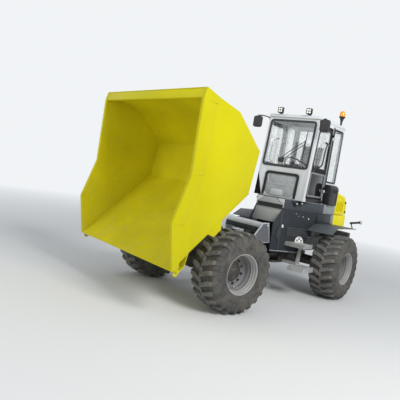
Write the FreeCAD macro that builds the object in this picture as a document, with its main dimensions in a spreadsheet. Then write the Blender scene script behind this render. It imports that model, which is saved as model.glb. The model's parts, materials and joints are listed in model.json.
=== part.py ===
import FreeCAD, Part
import math
import os
from FreeCAD import Placement, Rotation, Vector

# Site dumper with a cab, front skip tipped out, front frame turned to the right.
# Millimetres. X points forward along the rear frame, Y to the left, Z up. Pieces are
# drawn from the steering pin (X, Y) and the height of the axles (Z). The skip is drawn
# level, from its pivot. At the end all of it is moved, so that the origin is on the
# ground under the middle of the whole machine.

doc = FreeCAD.newDocument("site_dumper")
sheet = doc.addObject("Spreadsheet::Sheet", "dims")

# Driving dimensions
SIZES = (
    ("front_axle_x", 1350, "steering pin to front axle"),
    ("rear_axle_x", -1400, "steering pin to rear axle"),
    ("track_half", 985, "centre line to the middle of a tyre"),
    ("tyre_radius", 585, "over the lugs"),
    ("tyre_width", 500, "over the sidewalls"),
    ("lug_height", 33, "lugs over the tread"),
    ("lug_thick", 62, "lug thickness"),
    ("lug_slant", 24, "lug angle from the axle, degrees"),
    ("lug_count", 24, "lugs on each side of a tyre"),
    ("rim_radius", 298, "rim flange"),
    ("rim_width", 464, "over both rim flanges"),
    ("hub_radius", 135, "wheel hub, through the rim's disc"),
    ("steer_rest", -11.6, "front frame turned to the right, degrees"),
    ("steer_limit", 37, "most that the front frame turns from straight, degrees"),
    ("tip_rest", 74, "skip tipped down, degrees"),
    ("pivot_x", 1600, "skip pivot, from the steering pin"),
    ("pivot_z", 535, "skip pivot, over the axles"),
    ("pivot_pin", 30, "radius of the skip pivot pins"),
    ("skip_half", 1212, "centre line to the outside of a side plate"),
    ("rim_box", 38, "boxed rim outside the side plate"),
    ("skip_plate", 10, "skip plate thickness"),
    ("rib_half", 400, "centre line to the skip's ribs and pivot ears"),
    ("cab_half", 520, "half width of the cab"),
    ("cab_front_x", -640, "cab front at the floor"),
    ("cab_rear_x", -1900, "cab rear"),
    ("cab_floor_z", 1095, "underside of the cab"),
    ("cab_roof_z", 2655, "top of the cab roof"),
    ("cab_post", 60, "cab post width"),
    ("cab_lean", 120, "cab front leans back by this much at the roof"),
    ("door_rear_x", -1395, "rear edge of a door opening"),
    ("door_gap", 6, "round a door"),
    ("door_thick", 30, "door thickness"),
    ("glass", 6, "glass thickness"),
    ("body_half", 600, "half width of the rear body"),
    ("body_front_x", -410, "front of the band under the cab"),
    ("band_z", 915, "underside of the band under the cab"),
    ("skin", 14, "body panel thickness"),
    ("hood_top_z", 1365, "top of the engine hood at its front"),
    ("hood_rear_x", -2510, "back of the engine hood"),
    ("wing_z", 725, "top of a rear wing"),
    ("wing_half", 1065, "centre line to a wing's outer edge"),
    ("frame_half", 280, "half width over the rear frame plates"),
    ("front_frame_half", 370, "half width over the front frame plates"),
    ("frame_rear_x", -2350, "end of the rear frame"),
    ("frame_top_z", 415, "top of the frame plates"),
    ("frame_low_z", 135, "underside of the frame plates at the axles"),
    ("plate", 20, "frame plate thickness"),
    ("engine_side", 20, "engine block to a rear frame plate"),
    ("steer_pin", 32, "radius of the steering pin"),
    ("ram_z", 95, "steering cylinder, over the axles"),
    ("tow_hole", 16, "radius of the towing pin's hole"),
    ("tow_x", -2550, "towing pin's hole"),
    ("lash_hole", 22, "radius of a lashing hole"),
    ("hinge_pin", 6, "radius of the door and hood hinge pins"),
    ("seat_gap", 0.3, "between pieces that rest on each other"),
    ("fit", 0.05, "radial clearance of a running fit"),
    ("datum_x", 163, "steering pin forward of the machine's middle"),
    ("datum_y", -269, "machine's middle to the left of the steering pin"),
)
for row, (name, value, note) in enumerate(SIZES, start=1):
    sheet.set(f"A{row}", str(value))
    sheet.setAlias(f"A{row}", name)
    sheet.set(f"B{row}", note)
doc.recompute()


def size(name):
    """A driving dimension, read back from the sheet."""
    return float(sheet.get(name))


FRONT_X = size("front_axle_x")
REAR_X = size("rear_axle_x")
TRACK = size("track_half")
PLATE = size("plate")
GAP = size("seat_gap")
FIT = size("fit")
SKIN = size("skin")
BODY = size("body_half")
X_AXIS, Y_AXIS, Z_AXIS = Vector(1, 0, 0), Vector(0, 1, 0), Vector(0, 0, 1)
SIDES = (("left", 1), ("right", -1))

# Poses of the turned front frame, and of the tipped skip on it
STEER = Placement(Vector(), Rotation(Z_AXIS, size("steer_rest")))
PIVOT = Vector(size("pivot_x"), 0, size("pivot_z"))
TIPPED = STEER * Placement(PIVOT, Rotation(Y_AXIS, size("tip_rest")))

NODES = {}


# Helpers: sketches, pads, turned pieces, joins

def corner_edges(outline):
    """Lines and corner arcs of a closed outline of (x, y) or (x, y, radius)."""
    count = len(outline)
    ends = []
    for i, corner in enumerate(outline):
        here = Vector(corner[0], corner[1], 0)
        radius = corner[2] if len(corner) > 2 else 0
        before = Vector(*outline[i - 1][:2], 0)
        after = Vector(*outline[(i + 1) % count][:2], 0)
        back = (before - here).normalize()
        on = (after - here).normalize()
        half = back.getAngle(on) / 2
        if radius:
            start = here + back * (radius / math.tan(half))
            stop = here + on * (radius / math.tan(half))
            inward = (back + on).normalize()
            middle = here + inward * (radius / math.sin(half) - radius)
            ends.append((start, middle, stop))
        else:
            ends.append((here, None, here))
    edges = []
    for i, (start, middle, stop) in enumerate(ends):
        if middle:
            edges.append(Part.Arc(start, middle, stop))
        following = ends[(i + 1) % count][0]
        if (following - stop).Length > 1e-6:
            edges.append(Part.LineSegment(stop, following))
    return edges


def moved_line(start, stop, depth):
    """A line of the plane, moved to its left by depth."""
    run = math.hypot(stop[0] - start[0], stop[1] - start[1])
    dx = -(stop[1] - start[1]) / run * depth
    dy = (stop[0] - start[0]) / run * depth
    return (start[0] + dx, start[1] + dy), (stop[0] + dx, stop[1] + dy)


def crossing(first, second):
    """Where two lines of the plane cross."""
    (ax, ay), (bx, by) = first
    (cx, cy), (dx, dy) = second
    whole = (bx - ax) * (dy - cy) - (by - ay) * (dx - cx)
    share = ((cx - ax) * (dy - cy) - (cy - ay) * (dx - cx)) / whole
    return ax + share * (bx - ax), ay + share * (by - ay)


def inset(points, depth):
    """An open line of points, moved to its left by depth."""
    lines = [moved_line(a, b, depth) for a, b in zip(points, points[1:])]
    middle = [crossing(a, b) for a, b in zip(lines, lines[1:])]
    return [lines[0][0], *middle, lines[-1][1]]


def shrunk(outline, gap):
    """A closed outline made smaller all round by gap, corner arcs with it."""
    around = [*outline, outline[0]]
    area = sum(a[0] * b[1] - b[0] * a[1] for a, b in zip(around, around[1:]))
    depth = math.copysign(gap, area)
    lines = [moved_line(a[:2], b[:2], depth) for a, b in zip(around, around[1:])]
    result = []
    for i, corner in enumerate(outline):
        point = crossing(lines[i - 1], lines[i])
        result.append((*point, corner[2] - gap) if len(corner) > 2 else point)
    return result


def new_sketch(body, plane, loops, offset):
    """A sketch on one of the body's own planes; offset is along +X, +Y or +Z."""
    sketch = body.newObject("Sketcher::SketchObject", f"{body.Name}_sketch")
    base = next(f for f in body.Origin.OriginFeatures if f.Role == f"{plane}_Plane")
    sketch.AttachmentSupport = [(base, "")]
    sketch.MapMode = "FlatFace"
    along = -offset if plane == "XZ" else offset
    sketch.AttachmentOffset = Placement(Vector(0, 0, along), Rotation())
    for loop in loops:
        sketch.addGeometry(corner_edges(loop), False)
    return sketch


def pad(name, plane, loops, width, middle=0.0):
    """A body padded both ways from its middle plane. width may be a sheet formula."""
    body = doc.addObject("PartDesign::Body", name)
    sketch = new_sketch(body, plane, loops, middle)
    feature = body.newObject("PartDesign::Pad", f"{name}_pad")
    feature.Profile = sketch
    feature.SideType = "Symmetric"
    if isinstance(width, str):
        feature.setExpression("Length", width)
    else:
        feature.Length = width
    body.Tip = feature
    return body


def turned(name, profile, centre=Vector()):
    """A body of (y, radius) corners revolved about the Y axis."""
    body = doc.addObject("PartDesign::Body", name)
    sketch = new_sketch(body, "XY", [[(radius, along) for along, radius in profile]], 0)
    feature = body.newObject("PartDesign::Revolution", f"{name}_revolution")
    feature.Profile = sketch
    feature.ReferenceAxis = (sketch, ["V_Axis"])
    feature.Angle = 360
    body.Tip = feature
    body.Placement.Base = centre
    return body


def block(name, low, high, sign=1):
    """A box between two corners, or with sign -1 its mirror image on the right."""
    y_low, y_high = sorted((low[1] * sign, high[1] * sign))
    box = doc.addObject("Part::Box", name)
    box.Length = high[0] - low[0]
    box.Width = y_high - y_low
    box.Height = high[2] - low[2]
    box.Placement.Base = Vector(low[0], y_low, low[2])
    return box


def round_bar(name, start, stop, radius):
    """A cylinder from one point to another. radius may be a sheet formula."""
    start, stop = Vector(*start), Vector(*stop)
    bar = doc.addObject("Part::Cylinder", name)
    bar.Height = (stop - start).Length
    if isinstance(radius, str):
        bar.setExpression("Radius", radius)
    else:
        bar.Radius = radius
    bar.Placement = Placement(start, Rotation(Z_AXIS, stop - start))
    return bar


def fixed_shape(name, shape):
    """A piece whose shape is worked out in code."""
    feature = doc.addObject("Part::Feature", name)
    feature.Shape = shape
    return feature


def solid_between(lower, upper):
    """A straight-sided solid between two polygons of the same number of corners."""
    wires = [Part.makePolygon([Vector(*p) for p in (*loop, loop[0])]) for loop in (lower, upper)]
    return Part.makeLoft(wires, True, True)


def mirrored(shape):
    """The same piece on the other side of the centre line."""
    return shape.mirror(Vector(), Y_AXIS)


def joined(name, pieces):
    """Pieces welded into one."""
    if len(pieces) == 1:
        return pieces[0]
    union = doc.addObject("Part::MultiFuse", name)
    union.Shapes = pieces
    union.Refine = True
    return union


def less(name, piece, tools):
    """A piece with others cut out of it."""
    difference = doc.addObject("Part::Cut", name)
    difference.Base = piece
    difference.Tool = joined(f"{name}_tools", tools)
    return difference


def node(name, feature, pose=None):
    """Name a finished sub-part and put it in its pose."""
    feature.Label = name
    NODES[name] = (feature, pose or Placement())


# Wheels and axles

TYRE_SIDE = 130
RIM_FACETS = 48
AXLE_FLANGE = 150
HUB_REACH = 200


def faceted_ring(profile, count):
    """A ring of flat facets round the Y axis, from a closed profile of (y, radius)."""
    rings = []
    for i in range(count):
        turn = math.radians(360 * i / count)
        rings.append([Vector(radius * math.sin(turn), along, radius * math.cos(turn))
                      for along, radius in profile])
    faces = []
    for ring, following in zip(rings, rings[1:] + rings[:1]):
        for i in range(len(profile)):
            corners = (ring[i - 1], ring[i], following[i], following[i - 1], ring[i - 1])
            faces.append(Part.Face(Part.makePolygon(corners)))
    return Part.Solid(Part.Shell(faces))


def tyre_shape():
    """Hollow carcass with two rows of slanted lugs, staggered by half a pitch."""
    outside = size("tyre_radius")
    crown = outside - size("lug_height")
    half = size("tyre_width") / 2
    flange = size("rim_width") / 2 - 12
    facets = int(size("lug_count"))
    bead = (size("rim_radius") - 15 + GAP) / math.cos(math.pi / facets)
    carcass = faceted_ring(((flange - 3, bead), (half, crown - TYRE_SIDE), (half - 25, crown - 25),
                            (half - 60, crown), (60 - half, crown), (25 - half, crown - 25),
                            (-half, crown - TYRE_SIDE), (3 - flange, bead), (25 - flange, bead),
                            (60 - half, crown - 45), (half - 60, crown - 45), (flange - 25, bead)),
                           facets)
    slope = math.tan(math.radians(size("lug_slant")))
    thick = size("lug_thick") / math.cos(math.radians(size("lug_slant")))
    centre_end, shoulder_end = -18, half - 52
    spread = (shoulder_end - centre_end) * slope
    top = math.sqrt(outside ** 2 - ((spread + thick) / 2) ** 2)
    section = ((centre_end, crown - 25), (centre_end, top), (shoulder_end, top),
               (half - 3, crown - 68), (half - 35, crown - 90))
    # The centre end of a lug is the forward one at the top of the tyre
    forward = spread / 2 + centre_end * slope - thick / 2
    flat = [Vector(forward - along * slope, along, radius)
            for along, radius in (*section, section[0])]
    lug = Part.Face(Part.makePolygon(flat)).extrude(Vector(thick, 0, 0))
    count = int(size("lug_count"))
    lugs = []
    for turn, shape in ((0, lug), (0.5, mirrored(lug))):
        for i in range(count):
            copy = shape.copy()
            copy.rotate(Vector(), Y_AXIS, (i + turn) * 360 / count)
            lugs.append(copy)
    return carcass.multiFuse(lugs)


def rim_profile(outer):
    """Deep-dished rim, its disc set well inside; outer is +1 or -1 along Y."""
    half = size("rim_width") / 2
    flange = size("rim_radius")
    barrel = flange - 15
    hole = size("hub_radius") + 5
    profile = ((half, flange), (half, flange - 24), (half - 60, flange - 38), (98, flange - 56),
               (44, flange - 62), (30, flange - 84), (30, hole), (14, hole), (14, flange - 76),
               (34, flange - 48), (-half, flange - 26), (-half, flange), (10 - half, flange),
               (12 - half, barrel), (half - 12, barrel), (half - 10, flange))
    if outer < 0:
        profile = [(-along, radius) for along, radius in reversed(profile)]
    return profile


def hub_profile(outer):
    """Hub with its flange behind the rim's disc, and its reduction gear cover through it."""
    hub = size("hub_radius")
    flange = hub + 60
    profile = ((GAP - HUB_REACH, 0), (GAP - HUB_REACH, 120), (-30, 120), (-30, flange), (14, flange),
               (14, hub), (40, hub), (52, hub - 12), (52, 0))
    return [(along * outer, radius) for along, radius in profile]


def wheels():
    tyre = tyre_shape()
    for end, axle_x, pose in (("front", FRONT_X, STEER), ("rear", REAR_X, Placement())):
        for side, sign in SIDES:
            where = f"{end}_{side}"
            place = pose * Placement(Vector(axle_x, sign * TRACK, 0), Rotation())
            node(f"tyre_{where}", fixed_shape(f"tyre_{where}", tyre.copy()), place)
            rim = fixed_shape(f"rim_body_{where}", faceted_ring(rim_profile(sign), RIM_FACETS))
            hub = turned(f"hub_body_{where}", hub_profile(sign))
            node(f"rim_{where}", joined(f"rim_{where}", [rim, hub]), place)


def axles():
    beam = 90
    end = TRACK - HUB_REACH
    ends = ((end, 0), (end, AXLE_FLANGE), (end - 40, AXLE_FLANGE), (end - 60, beam), (210, beam), (130, 175))
    profile = [*((-along, radius) for along, radius in ends), *reversed(ends)]
    places = (("front", FRONT_X, STEER, size("front_frame_half")),
              ("rear", REAR_X, Placement(), size("frame_half")))
    for end_name, axle_x, pose, frame in places:
        name = f"{end_name}_axle"
        body = turned(f"{name}_beam", profile, Vector(axle_x, 0, 0))
        low = (axle_x - 110, frame - PLATE - 50, 60)
        high = (axle_x + 110, frame + 40, size("frame_low_z"))
        seats = [block(f"{name}_seat_{side}", low, high, sign) for side, sign in SIDES]
        node(name, joined(name, [body, *seats]), pose)


# Steering joint: upper and lower pairs of plates, a rear arm outside each front lug
JOINT_LEVELS = (("upper", 251, 1), ("lower", -31, -1))
ARM_THICK = 30
ARM_OFFSET = 19
RAM_EYE_HALF = 40
RAM_CHEEK = 14
STEER_BASE = Vector(-545, 220, size("ram_z"))
STEER_EYE = Vector(300, 300, size("ram_z"))


def cheeks_about(name, low, high):
    """Two flat cheeks over and under a steering cylinder's eye, in the given plan box."""
    middle = size("ram_z")
    reach = RAM_EYE_HALF + 9
    upper = block(f"{name}_upper", (*low, middle + reach), (*high, middle + reach + RAM_CHEEK))
    lower = block(f"{name}_lower", (*low, middle - reach - RAM_CHEEK), (*high, middle - reach))
    return [upper, lower]


# Rear frame

def rear_frame():
    half = size("frame_half")
    rear = size("frame_rear_x")
    top = size("frame_top_z")
    low = size("frame_low_z")
    foot = -65
    engine_z = 275
    side = [(rear, low), (rear, top + 150), (rear + 50, top + 150), (rear + 100, top), (-500, top),
            (-500, top - 130), (-560, top - 130), (-560, foot), (-760, foot), (-900, low)]
    plates = [pad(f"rear_plate_{where}", "XZ", [side], "dims.plate", sign * (half - PLATE / 2))
              for where, sign in SIDES]
    arm = [(-610, -half), (-610, half), (-450, half), (-60, 100, 60), (95, 100, 90), (95, -100, 90),
           (-60, -100, 60), (-450, -half)]
    arms = [pad(f"steering_arm_{where}", "XY", [arm], ARM_THICK, level + away * ARM_OFFSET)
            for where, level, away in JOINT_LEVELS]
    # Cross plates: front, two engine bearers, rear
    crosses = [block(f"rear_cross_{i}", (x, PLATE / 2 - half, low + 20), (x + PLATE, half - PLATE / 2, high))
               for i, (x, high) in enumerate(((-620, top - 20), (-1270, engine_z - GAP),
                                              (-2200, engine_z - GAP), (rear, top - 20)))]
    front = block("rear_foot", (-620, -half, foot), (-600, half, top - 130))
    pin = round_bar("steering_pin", (0, 0, -85), (0, 0, 305), "dims.steer_pin * 1 mm")
    cheeks = cheeks_about("ram_cheek", (-620, STEER_BASE.y - 55), (STEER_BASE.x, STEER_BASE.y + 55))
    reach = Vector(0, 0, RAM_EYE_HALF + 35)
    base_pin = round_bar("ram_base_pin", STEER_BASE - reach, STEER_BASE + reach, 16)
    node("rear_frame", joined("rear_frame", [*plates, *arms, *crosses, front, pin, *cheeks, base_pin]))
    engine_half = half - PLATE - size("engine_side")
    node("engine_block", block("engine_block", (-2300, -engine_half, engine_z), (-1250, engine_half, 855)))

    jaw_x = rear - GAP
    hole_x = size("tow_x")
    tongue = [(jaw_x - 10, -90), (jaw_x - 10, 90), (hole_x + 40, 90, 40), (hole_x - 50, 50, 30),
              (hole_x - 50, -50, 30), (hole_x + 40, -90, 40)]
    jaw = [pad(f"jaw_{where}", "XY", [tongue], 24, z) for where, z in (("upper", 315), ("lower", 205))]
    back = block("jaw_back", (jaw_x - 20, -110, 175), (jaw_x, 110, 355))
    hole = round_bar("jaw_hole", (hole_x, 0, 100), (hole_x, 0, 400), "dims.tow_hole * 1 mm")
    node("towing_jaw", less("towing_jaw", joined("jaw_body", [*jaw, back]), [hole]))

    # Bumper with a gap over the towing jaw, so that its pin drops in from above
    guard_x = hole_x - 50
    guard = pad("rear_guard", "XY", [[(jaw_x, -780), (jaw_x, 780), (-2480, 780, 40), (guard_x, 560, 80),
                                      (guard_x, 100), (hole_x + 35, 100), (hole_x + 35, -100),
                                      (guard_x, -100), (guard_x, -560, 80), (-2480, -780, 40)]],
                170, top + 90)
    node("rear_guard", guard)


# Rear body: side panels, cowl, band under the cab, hood, rear panel

BAND_TOP = size("cab_floor_z") - GAP
PANEL_TOP = size("band_z") - GAP
PANEL_LOW_FRONT = Vector(-30, 295, 175)
PANEL_TOP_FRONT = Vector(size("body_front_x"), 290, PANEL_TOP)
PANEL_TOP_REAR = Vector(-1200, BODY, PANEL_TOP)
PANEL_REAR_X = size("cab_rear_x")


def panel_y(x, z):
    """Outer face of the left side panel's flare, which leans out towards its foot."""
    normal = (PANEL_TOP_REAR - PANEL_TOP_FRONT).cross(PANEL_LOW_FRONT - PANEL_TOP_FRONT)
    offset = normal.x * (x - PANEL_TOP_FRONT.x) + normal.z * (z - PANEL_TOP_FRONT.z)
    return PANEL_TOP_FRONT.y - offset / normal.y


def side_panel():
    """Left side panel: a plate flared out from the steering joint, and a straight strip."""
    along = PANEL_TOP_REAR - PANEL_TOP_FRONT
    low_front = PANEL_LOW_FRONT + along * 0.09
    low_rear = PANEL_LOW_FRONT + along * 0.92
    # The front edge follows the cowl's side and then drops almost straight down
    bend = Vector(-190, panel_y(-190, 629), 629)
    outline = [low_front, low_rear, PANEL_TOP_REAR, PANEL_TOP_FRONT, bend, low_front]
    flare = Part.Face(Part.makePolygon(outline)).extrude(Vector(0, -SKIN, 0))
    strip_low = size("wing_z") - 50
    strip = Part.makeBox(PANEL_TOP_REAR.x + 20 - PANEL_REAR_X, SKIN, PANEL_TOP - strip_low,
                         Vector(PANEL_REAR_X, BODY - SKIN, strip_low))
    return flare.fuse(strip)


def rear_body():
    panel = side_panel()
    node("side_panel_left", fixed_shape("side_panel_left", panel))
    node("side_panel_right", fixed_shape("side_panel_right", mirrored(panel)))

    low = size("band_z")
    front_x = size("body_front_x")
    rear_x = size("cab_rear_x") + 10
    narrow = PANEL_TOP_FRONT.y
    plan = [(front_x, -narrow), (front_x, narrow), (-1200, BODY), (rear_x, BODY), (rear_x, -BODY),
            (-1200, -BODY)]
    ring = pad("base_ring", "XY", [plan, shrunk(plan, 30)], BAND_TOP - low, (BAND_TOP + low) / 2)
    floor = pad("base_floor", "XY", [shrunk(plan, 10)], 20, low + 10)
    # Bulkhead and rear legs that stand the band on the rear frame's plates
    legs_z = size("frame_top_z") + GAP
    frame = size("frame_half")
    bulkhead = block("base_bulkhead", (-660, -frame, legs_z), (-640, frame, low + 10))
    legs = [block(f"base_leg_{side}", (-1860, frame - PLATE, legs_z), (-1700, frame, low + 10), sign)
            for side, sign in SIDES]
    node("body_band", joined("body_band", [ring, floor, bulkhead, *legs]))

    # Cowl between the side panels' front edges, and its cap on the band
    cowl_low = 645
    upper = panel_y(front_x + 8, PANEL_TOP) - SKIN - GAP
    lower = panel_y(front_x + 8, cowl_low) - SKIN - GAP
    cowl = [(-lower, cowl_low), (lower, cowl_low), (upper, PANEL_TOP), (-upper, PANEL_TOP)]
    node("cowl_panel", pad("cowl_panel", "YZ", [cowl], 16, front_x))
    cap = [(-282, low + 60), (282, low + 60), (110, BAND_TOP, 20), (-110, BAND_TOP, 20)]
    node("cowl_cap", pad("cowl_cap", "YZ", [cap], 20, front_x + 10 + GAP))


# Hood hinge: pin line behind the rear panel, two hinges
HOOD_PIN = (size("hood_rear_x") - 26, size("band_z") + 5)
HOOD_HINGES = (330, -430)
KNUCKLE = 12


def hood_hinge(name, start, part):
    """Half a hood hinge at y = start: part is "pin" on the panel or "eye" on the hood."""
    x, z = HOOD_PIN
    width = 100
    middle = start + 40
    pin = "dims.hinge_pin * 1 mm"
    if part == "pin":
        leaf = block(f"{name}_leaf", (x, start, z - 12), (x + 20, middle, z - 6))
        knuckle = round_bar(f"{name}_knuckle", (x, start, z), (x, middle, z), KNUCKLE)
        return [leaf, knuckle, round_bar(f"{name}_pin", (x, start, z), (x, start + width, z), pin)]
    leaf = block(f"{name}_leaf", (x, middle + GAP, z + 6), (x + 36, start + width, z + 12))
    knuckle = round_bar(f"{name}_knuckle", (x, middle + GAP, z), (x, start + width, z), KNUCKLE)
    return [leaf, knuckle]


def hood():
    """Rear engine hood: two louvred sides, a rounded top and back, on two hinges."""
    front = size("cab_rear_x") - 8
    rear = size("hood_rear_x")
    low = size("band_z") + 10
    top = size("hood_top_z")
    width = 2 * BODY - 40
    outside = [(front, low), (front, top, 30), (rear + 50, top - 80, 220), (rear, low)]
    inside = [(front + 30, low - 30), (front + 30, top - SKIN - 3), (rear + 62, top - 80 - SKIN, 206),
              (rear + SKIN, low - 30)]
    hollow = pad("hood_inside", "XZ", [inside], width - 2 * SKIN)
    slots = [block(f"hood_slot_{i}", (x - 22, -BODY, low + 70), (x, BODY, low + 250))
             for i, x in enumerate(range(-2018, -2358, -68))]
    shell = less("hood_shell", pad("hood_outside", "XZ", [outside], width), [hollow, *slots])
    eyes = [piece for i, y in enumerate(HOOD_HINGES) for piece in hood_hinge(f"hood_eye_{i}", y, "eye")]
    whole = joined("hood_body", [shell, *eyes])
    x, z = HOOD_PIN
    bore = round_bar("hood_pin_hole", (x, -BODY, z), (x, BODY, z), "(dims.hinge_pin + dims.fit) * 1 mm")
    node("engine_hood", less("engine_hood", whole, [bore]))


def rear_panel():
    """Fixed skirt under the hood, from one side panel round to the other."""
    front = PANEL_REAR_X - GAP
    rear = size("hood_rear_x") - 10
    inner = BODY - SKIN
    plan = [(front, inner), (front, BODY), (rear, BODY, 30), (rear, -BODY, 30), (front, -BODY),
            (front, -inner), (rear + SKIN, -inner, 16), (rear + SKIN, inner, 16)]
    top = size("band_z")
    skirt = pad("rear_skirt", "XY", [plan], 290, top - 145)
    pins = [piece for i, y in enumerate(HOOD_HINGES) for piece in hood_hinge(f"hood_pin_{i}", y, "pin")]
    node("rear_panel", joined("rear_panel", [skirt, *pins]))


# Wings, steps, storage boxes, lamps, mirrors, beacon

ROOF_RIDGE_X = -1500


def roof_z(x):
    """Top of the cab roof behind its ridge or in front of it."""
    high = size("cab_roof_z")
    if x > ROOF_RIDGE_X:
        front = size("cab_front_x") - size("cab_lean") + 10
        return high + 10 * (front - x) / (front - ROOF_RIDGE_X)
    return high + 10 - 30 * (ROOF_RIDGE_X - x) / (ROOF_RIDGE_X - size("cab_rear_x") + 10)


def wing(side, sign):
    """Flat rear wing with its front bent down, a stay, and the side lamp on its stalk."""
    top = size("wing_z")
    thick = 12
    inner = BODY + GAP
    outer = size("wing_half")
    bent = [(-860, top - 120), (-1100, top), (-1960, top), (-1960, top - thick), (-1097, top - thick),
            (-864, top - 120 - thick)]
    plate = pad(f"wing_plate_{side}", "XZ", [bent], outer - inner, sign * (outer + inner) / 2)
    stay = block(f"wing_stay_{side}", (-1500, inner, top - 49), (-1460, 660, top - 5), sign)
    lamp_y = sign * (outer - 65)
    elbow = Vector(-1950, sign * (outer - 110), top + 95)
    outwards = Vector(-40, sign * 185, 48)
    outwards.normalize()
    stalk = round_bar(f"lamp_stalk_{side}", (-1940, lamp_y, top - 5), elbow, 11)
    arm = round_bar(f"lamp_arm_{side}", elbow - outwards * 20, elbow + outwards * 175, 18)
    lamp = round_bar(f"lamp_lens_{side}", elbow + outwards * 165, elbow + outwards * 200, 33)
    node(f"wing_{side}", joined(f"wing_{side}", [plate, stay, stalk, arm, lamp]))


def tread(name, plan, low, high):
    """Folded tread: a sheet with its four edges turned down to low."""
    skirt = pad(f"{name}_skirt", "XY", [plan, shrunk(plan, SKIN)], high - low, (low + high) / 2)
    sheet = pad(f"{name}_sheet", "XY", [plan], SKIN, high - SKIN / 2)
    return [skirt, sheet]


def steps(side, sign):
    """Two treads on a hanger, on an arm from the rear frame."""
    low_z, low_top = -105, -25
    high_z, high_top = 290, 360
    hang_y = BODY
    plan = [(-730, sign * hang_y), (-730, sign * 900), (-330, sign * 900), (-330, sign * hang_y)]
    low = tread(f"step_low_{side}", plan, low_z, low_top)
    front, rear = -420, -760
    plan = [(rear, sign * (panel_y(rear, high_z) + 1)), (rear, sign * 800), (front, sign * 800),
            (front, sign * (panel_y(front, high_z) + 1))]
    high = tread(f"step_high_{side}", plan, high_z, high_top)
    hanger = pad(f"step_hanger_{side}", "XZ", [[(-740, low_z), (-740, high_top), (-680, high_top),
                                                (-600, low_top), (-600, low_z)]], 20, sign * hang_y)
    arm = block(f"step_arm_{side}", (-740, size("frame_half") + GAP, -50), (-690, hang_y, 0), sign)
    node(f"steps_{side}", joined(f"steps_{side}", [*low, *high, hanger, arm]))


def storage_box(side, sign):
    floor = size("cab_floor_z")
    near = sign * (size("cab_half") + 4)
    outer = sign * (BODY + 60)
    outline = [(near, floor), (outer, floor, 25), (outer, floor + 380, 70), (near, floor + 380)]
    node(f"storage_box_{side}", pad(f"storage_box_{side}", "YZ", [outline], 355, -1622.5))


def work_lamp(side, sign):
    """Lamp over the front of the roof, on a foot on the roof."""
    foot_z = roof_z(-810) + GAP
    foot = block(f"lamp_foot_{side}", (-810, 275, foot_z), (-740, 315, foot_z + 14), sign)
    body = block(f"lamp_body_{side}", (-770, 240, foot_z + 10), (-700, 350, foot_z + 110), sign)
    node(f"work_lamp_{side}", joined(f"work_lamp_{side}", [body, foot]))


def mirror(side, sign):
    """Mirror head hung from a bent arm on the cab's front post."""
    face = size("cab_half") + GAP
    top = size("cab_roof_z") - 60
    foot = block(f"mirror_foot_{side}", (-800, face, top - 64), (-768, face + 14, top - 8), sign)
    head = block(f"mirror_head_{side}", (-655, 600, top - 240), (-585, 790, top - 20), sign)
    route = [(-784, sign * (face + 8), top - 34), (-705, sign * 640, top + 5), (-622, sign * 695, top + 5),
             (-622, sign * 695, top - 30)]
    arms = [round_bar(f"mirror_arm_{side}_{i}", a, b, 11) for i, (a, b) in enumerate(zip(route, route[1:]))]
    node(f"mirror_{side}", joined(f"mirror_{side}", [foot, head, *arms]))


def beacon():
    x, y = -1820, 450
    start = roof_z(x + 40) + GAP
    foot = round_bar("beacon_foot", (x, y, start), (x, y, start + 12), 38)
    stalk = round_bar("beacon_stalk", (x, y, start), (x, y, 2820), 14)
    lens = round_bar("beacon_lens", (x, y, 2815), (x, y, 2955), 62)
    node("beacon", joined("beacon", [foot, stalk, lens]))


# Cab

DOOR_PIN_Y = size("cab_half") + 16
DOOR_PIN_X = size("door_rear_x") + 3
DOOR_HINGES = (1365, 2365)
HINGE_HALF = 50


def door_hinge(name, sign, level, part):
    """Half a door hinge: part is "pin" on the cab or "eye" on the door."""
    x, y = DOOR_PIN_X, sign * DOOR_PIN_Y
    outside = size("cab_half") + 9
    if part == "pin":
        leaf = block(f"{name}_leaf", (x - 48, outside - 10, level - HINGE_HALF), (x, outside, level), sign)
        knuckle = round_bar(f"{name}_knuckle", (x, y, level - HINGE_HALF), (x, y, level), 14)
        pin = round_bar(f"{name}_pin", (x, y, level - HINGE_HALF), (x, y, level + HINGE_HALF),
                        "dims.hinge_pin * 1 mm")
        return [leaf, knuckle, pin]
    low = level + GAP
    leaf = block(f"{name}_leaf", (x, outside - 12, low), (x + 52, outside, level + HINGE_HALF), sign)
    knuckle = round_bar(f"{name}_knuckle", (x, y, low), (x, y, level + HINGE_HALF), 14)
    return [leaf, knuckle]


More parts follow.
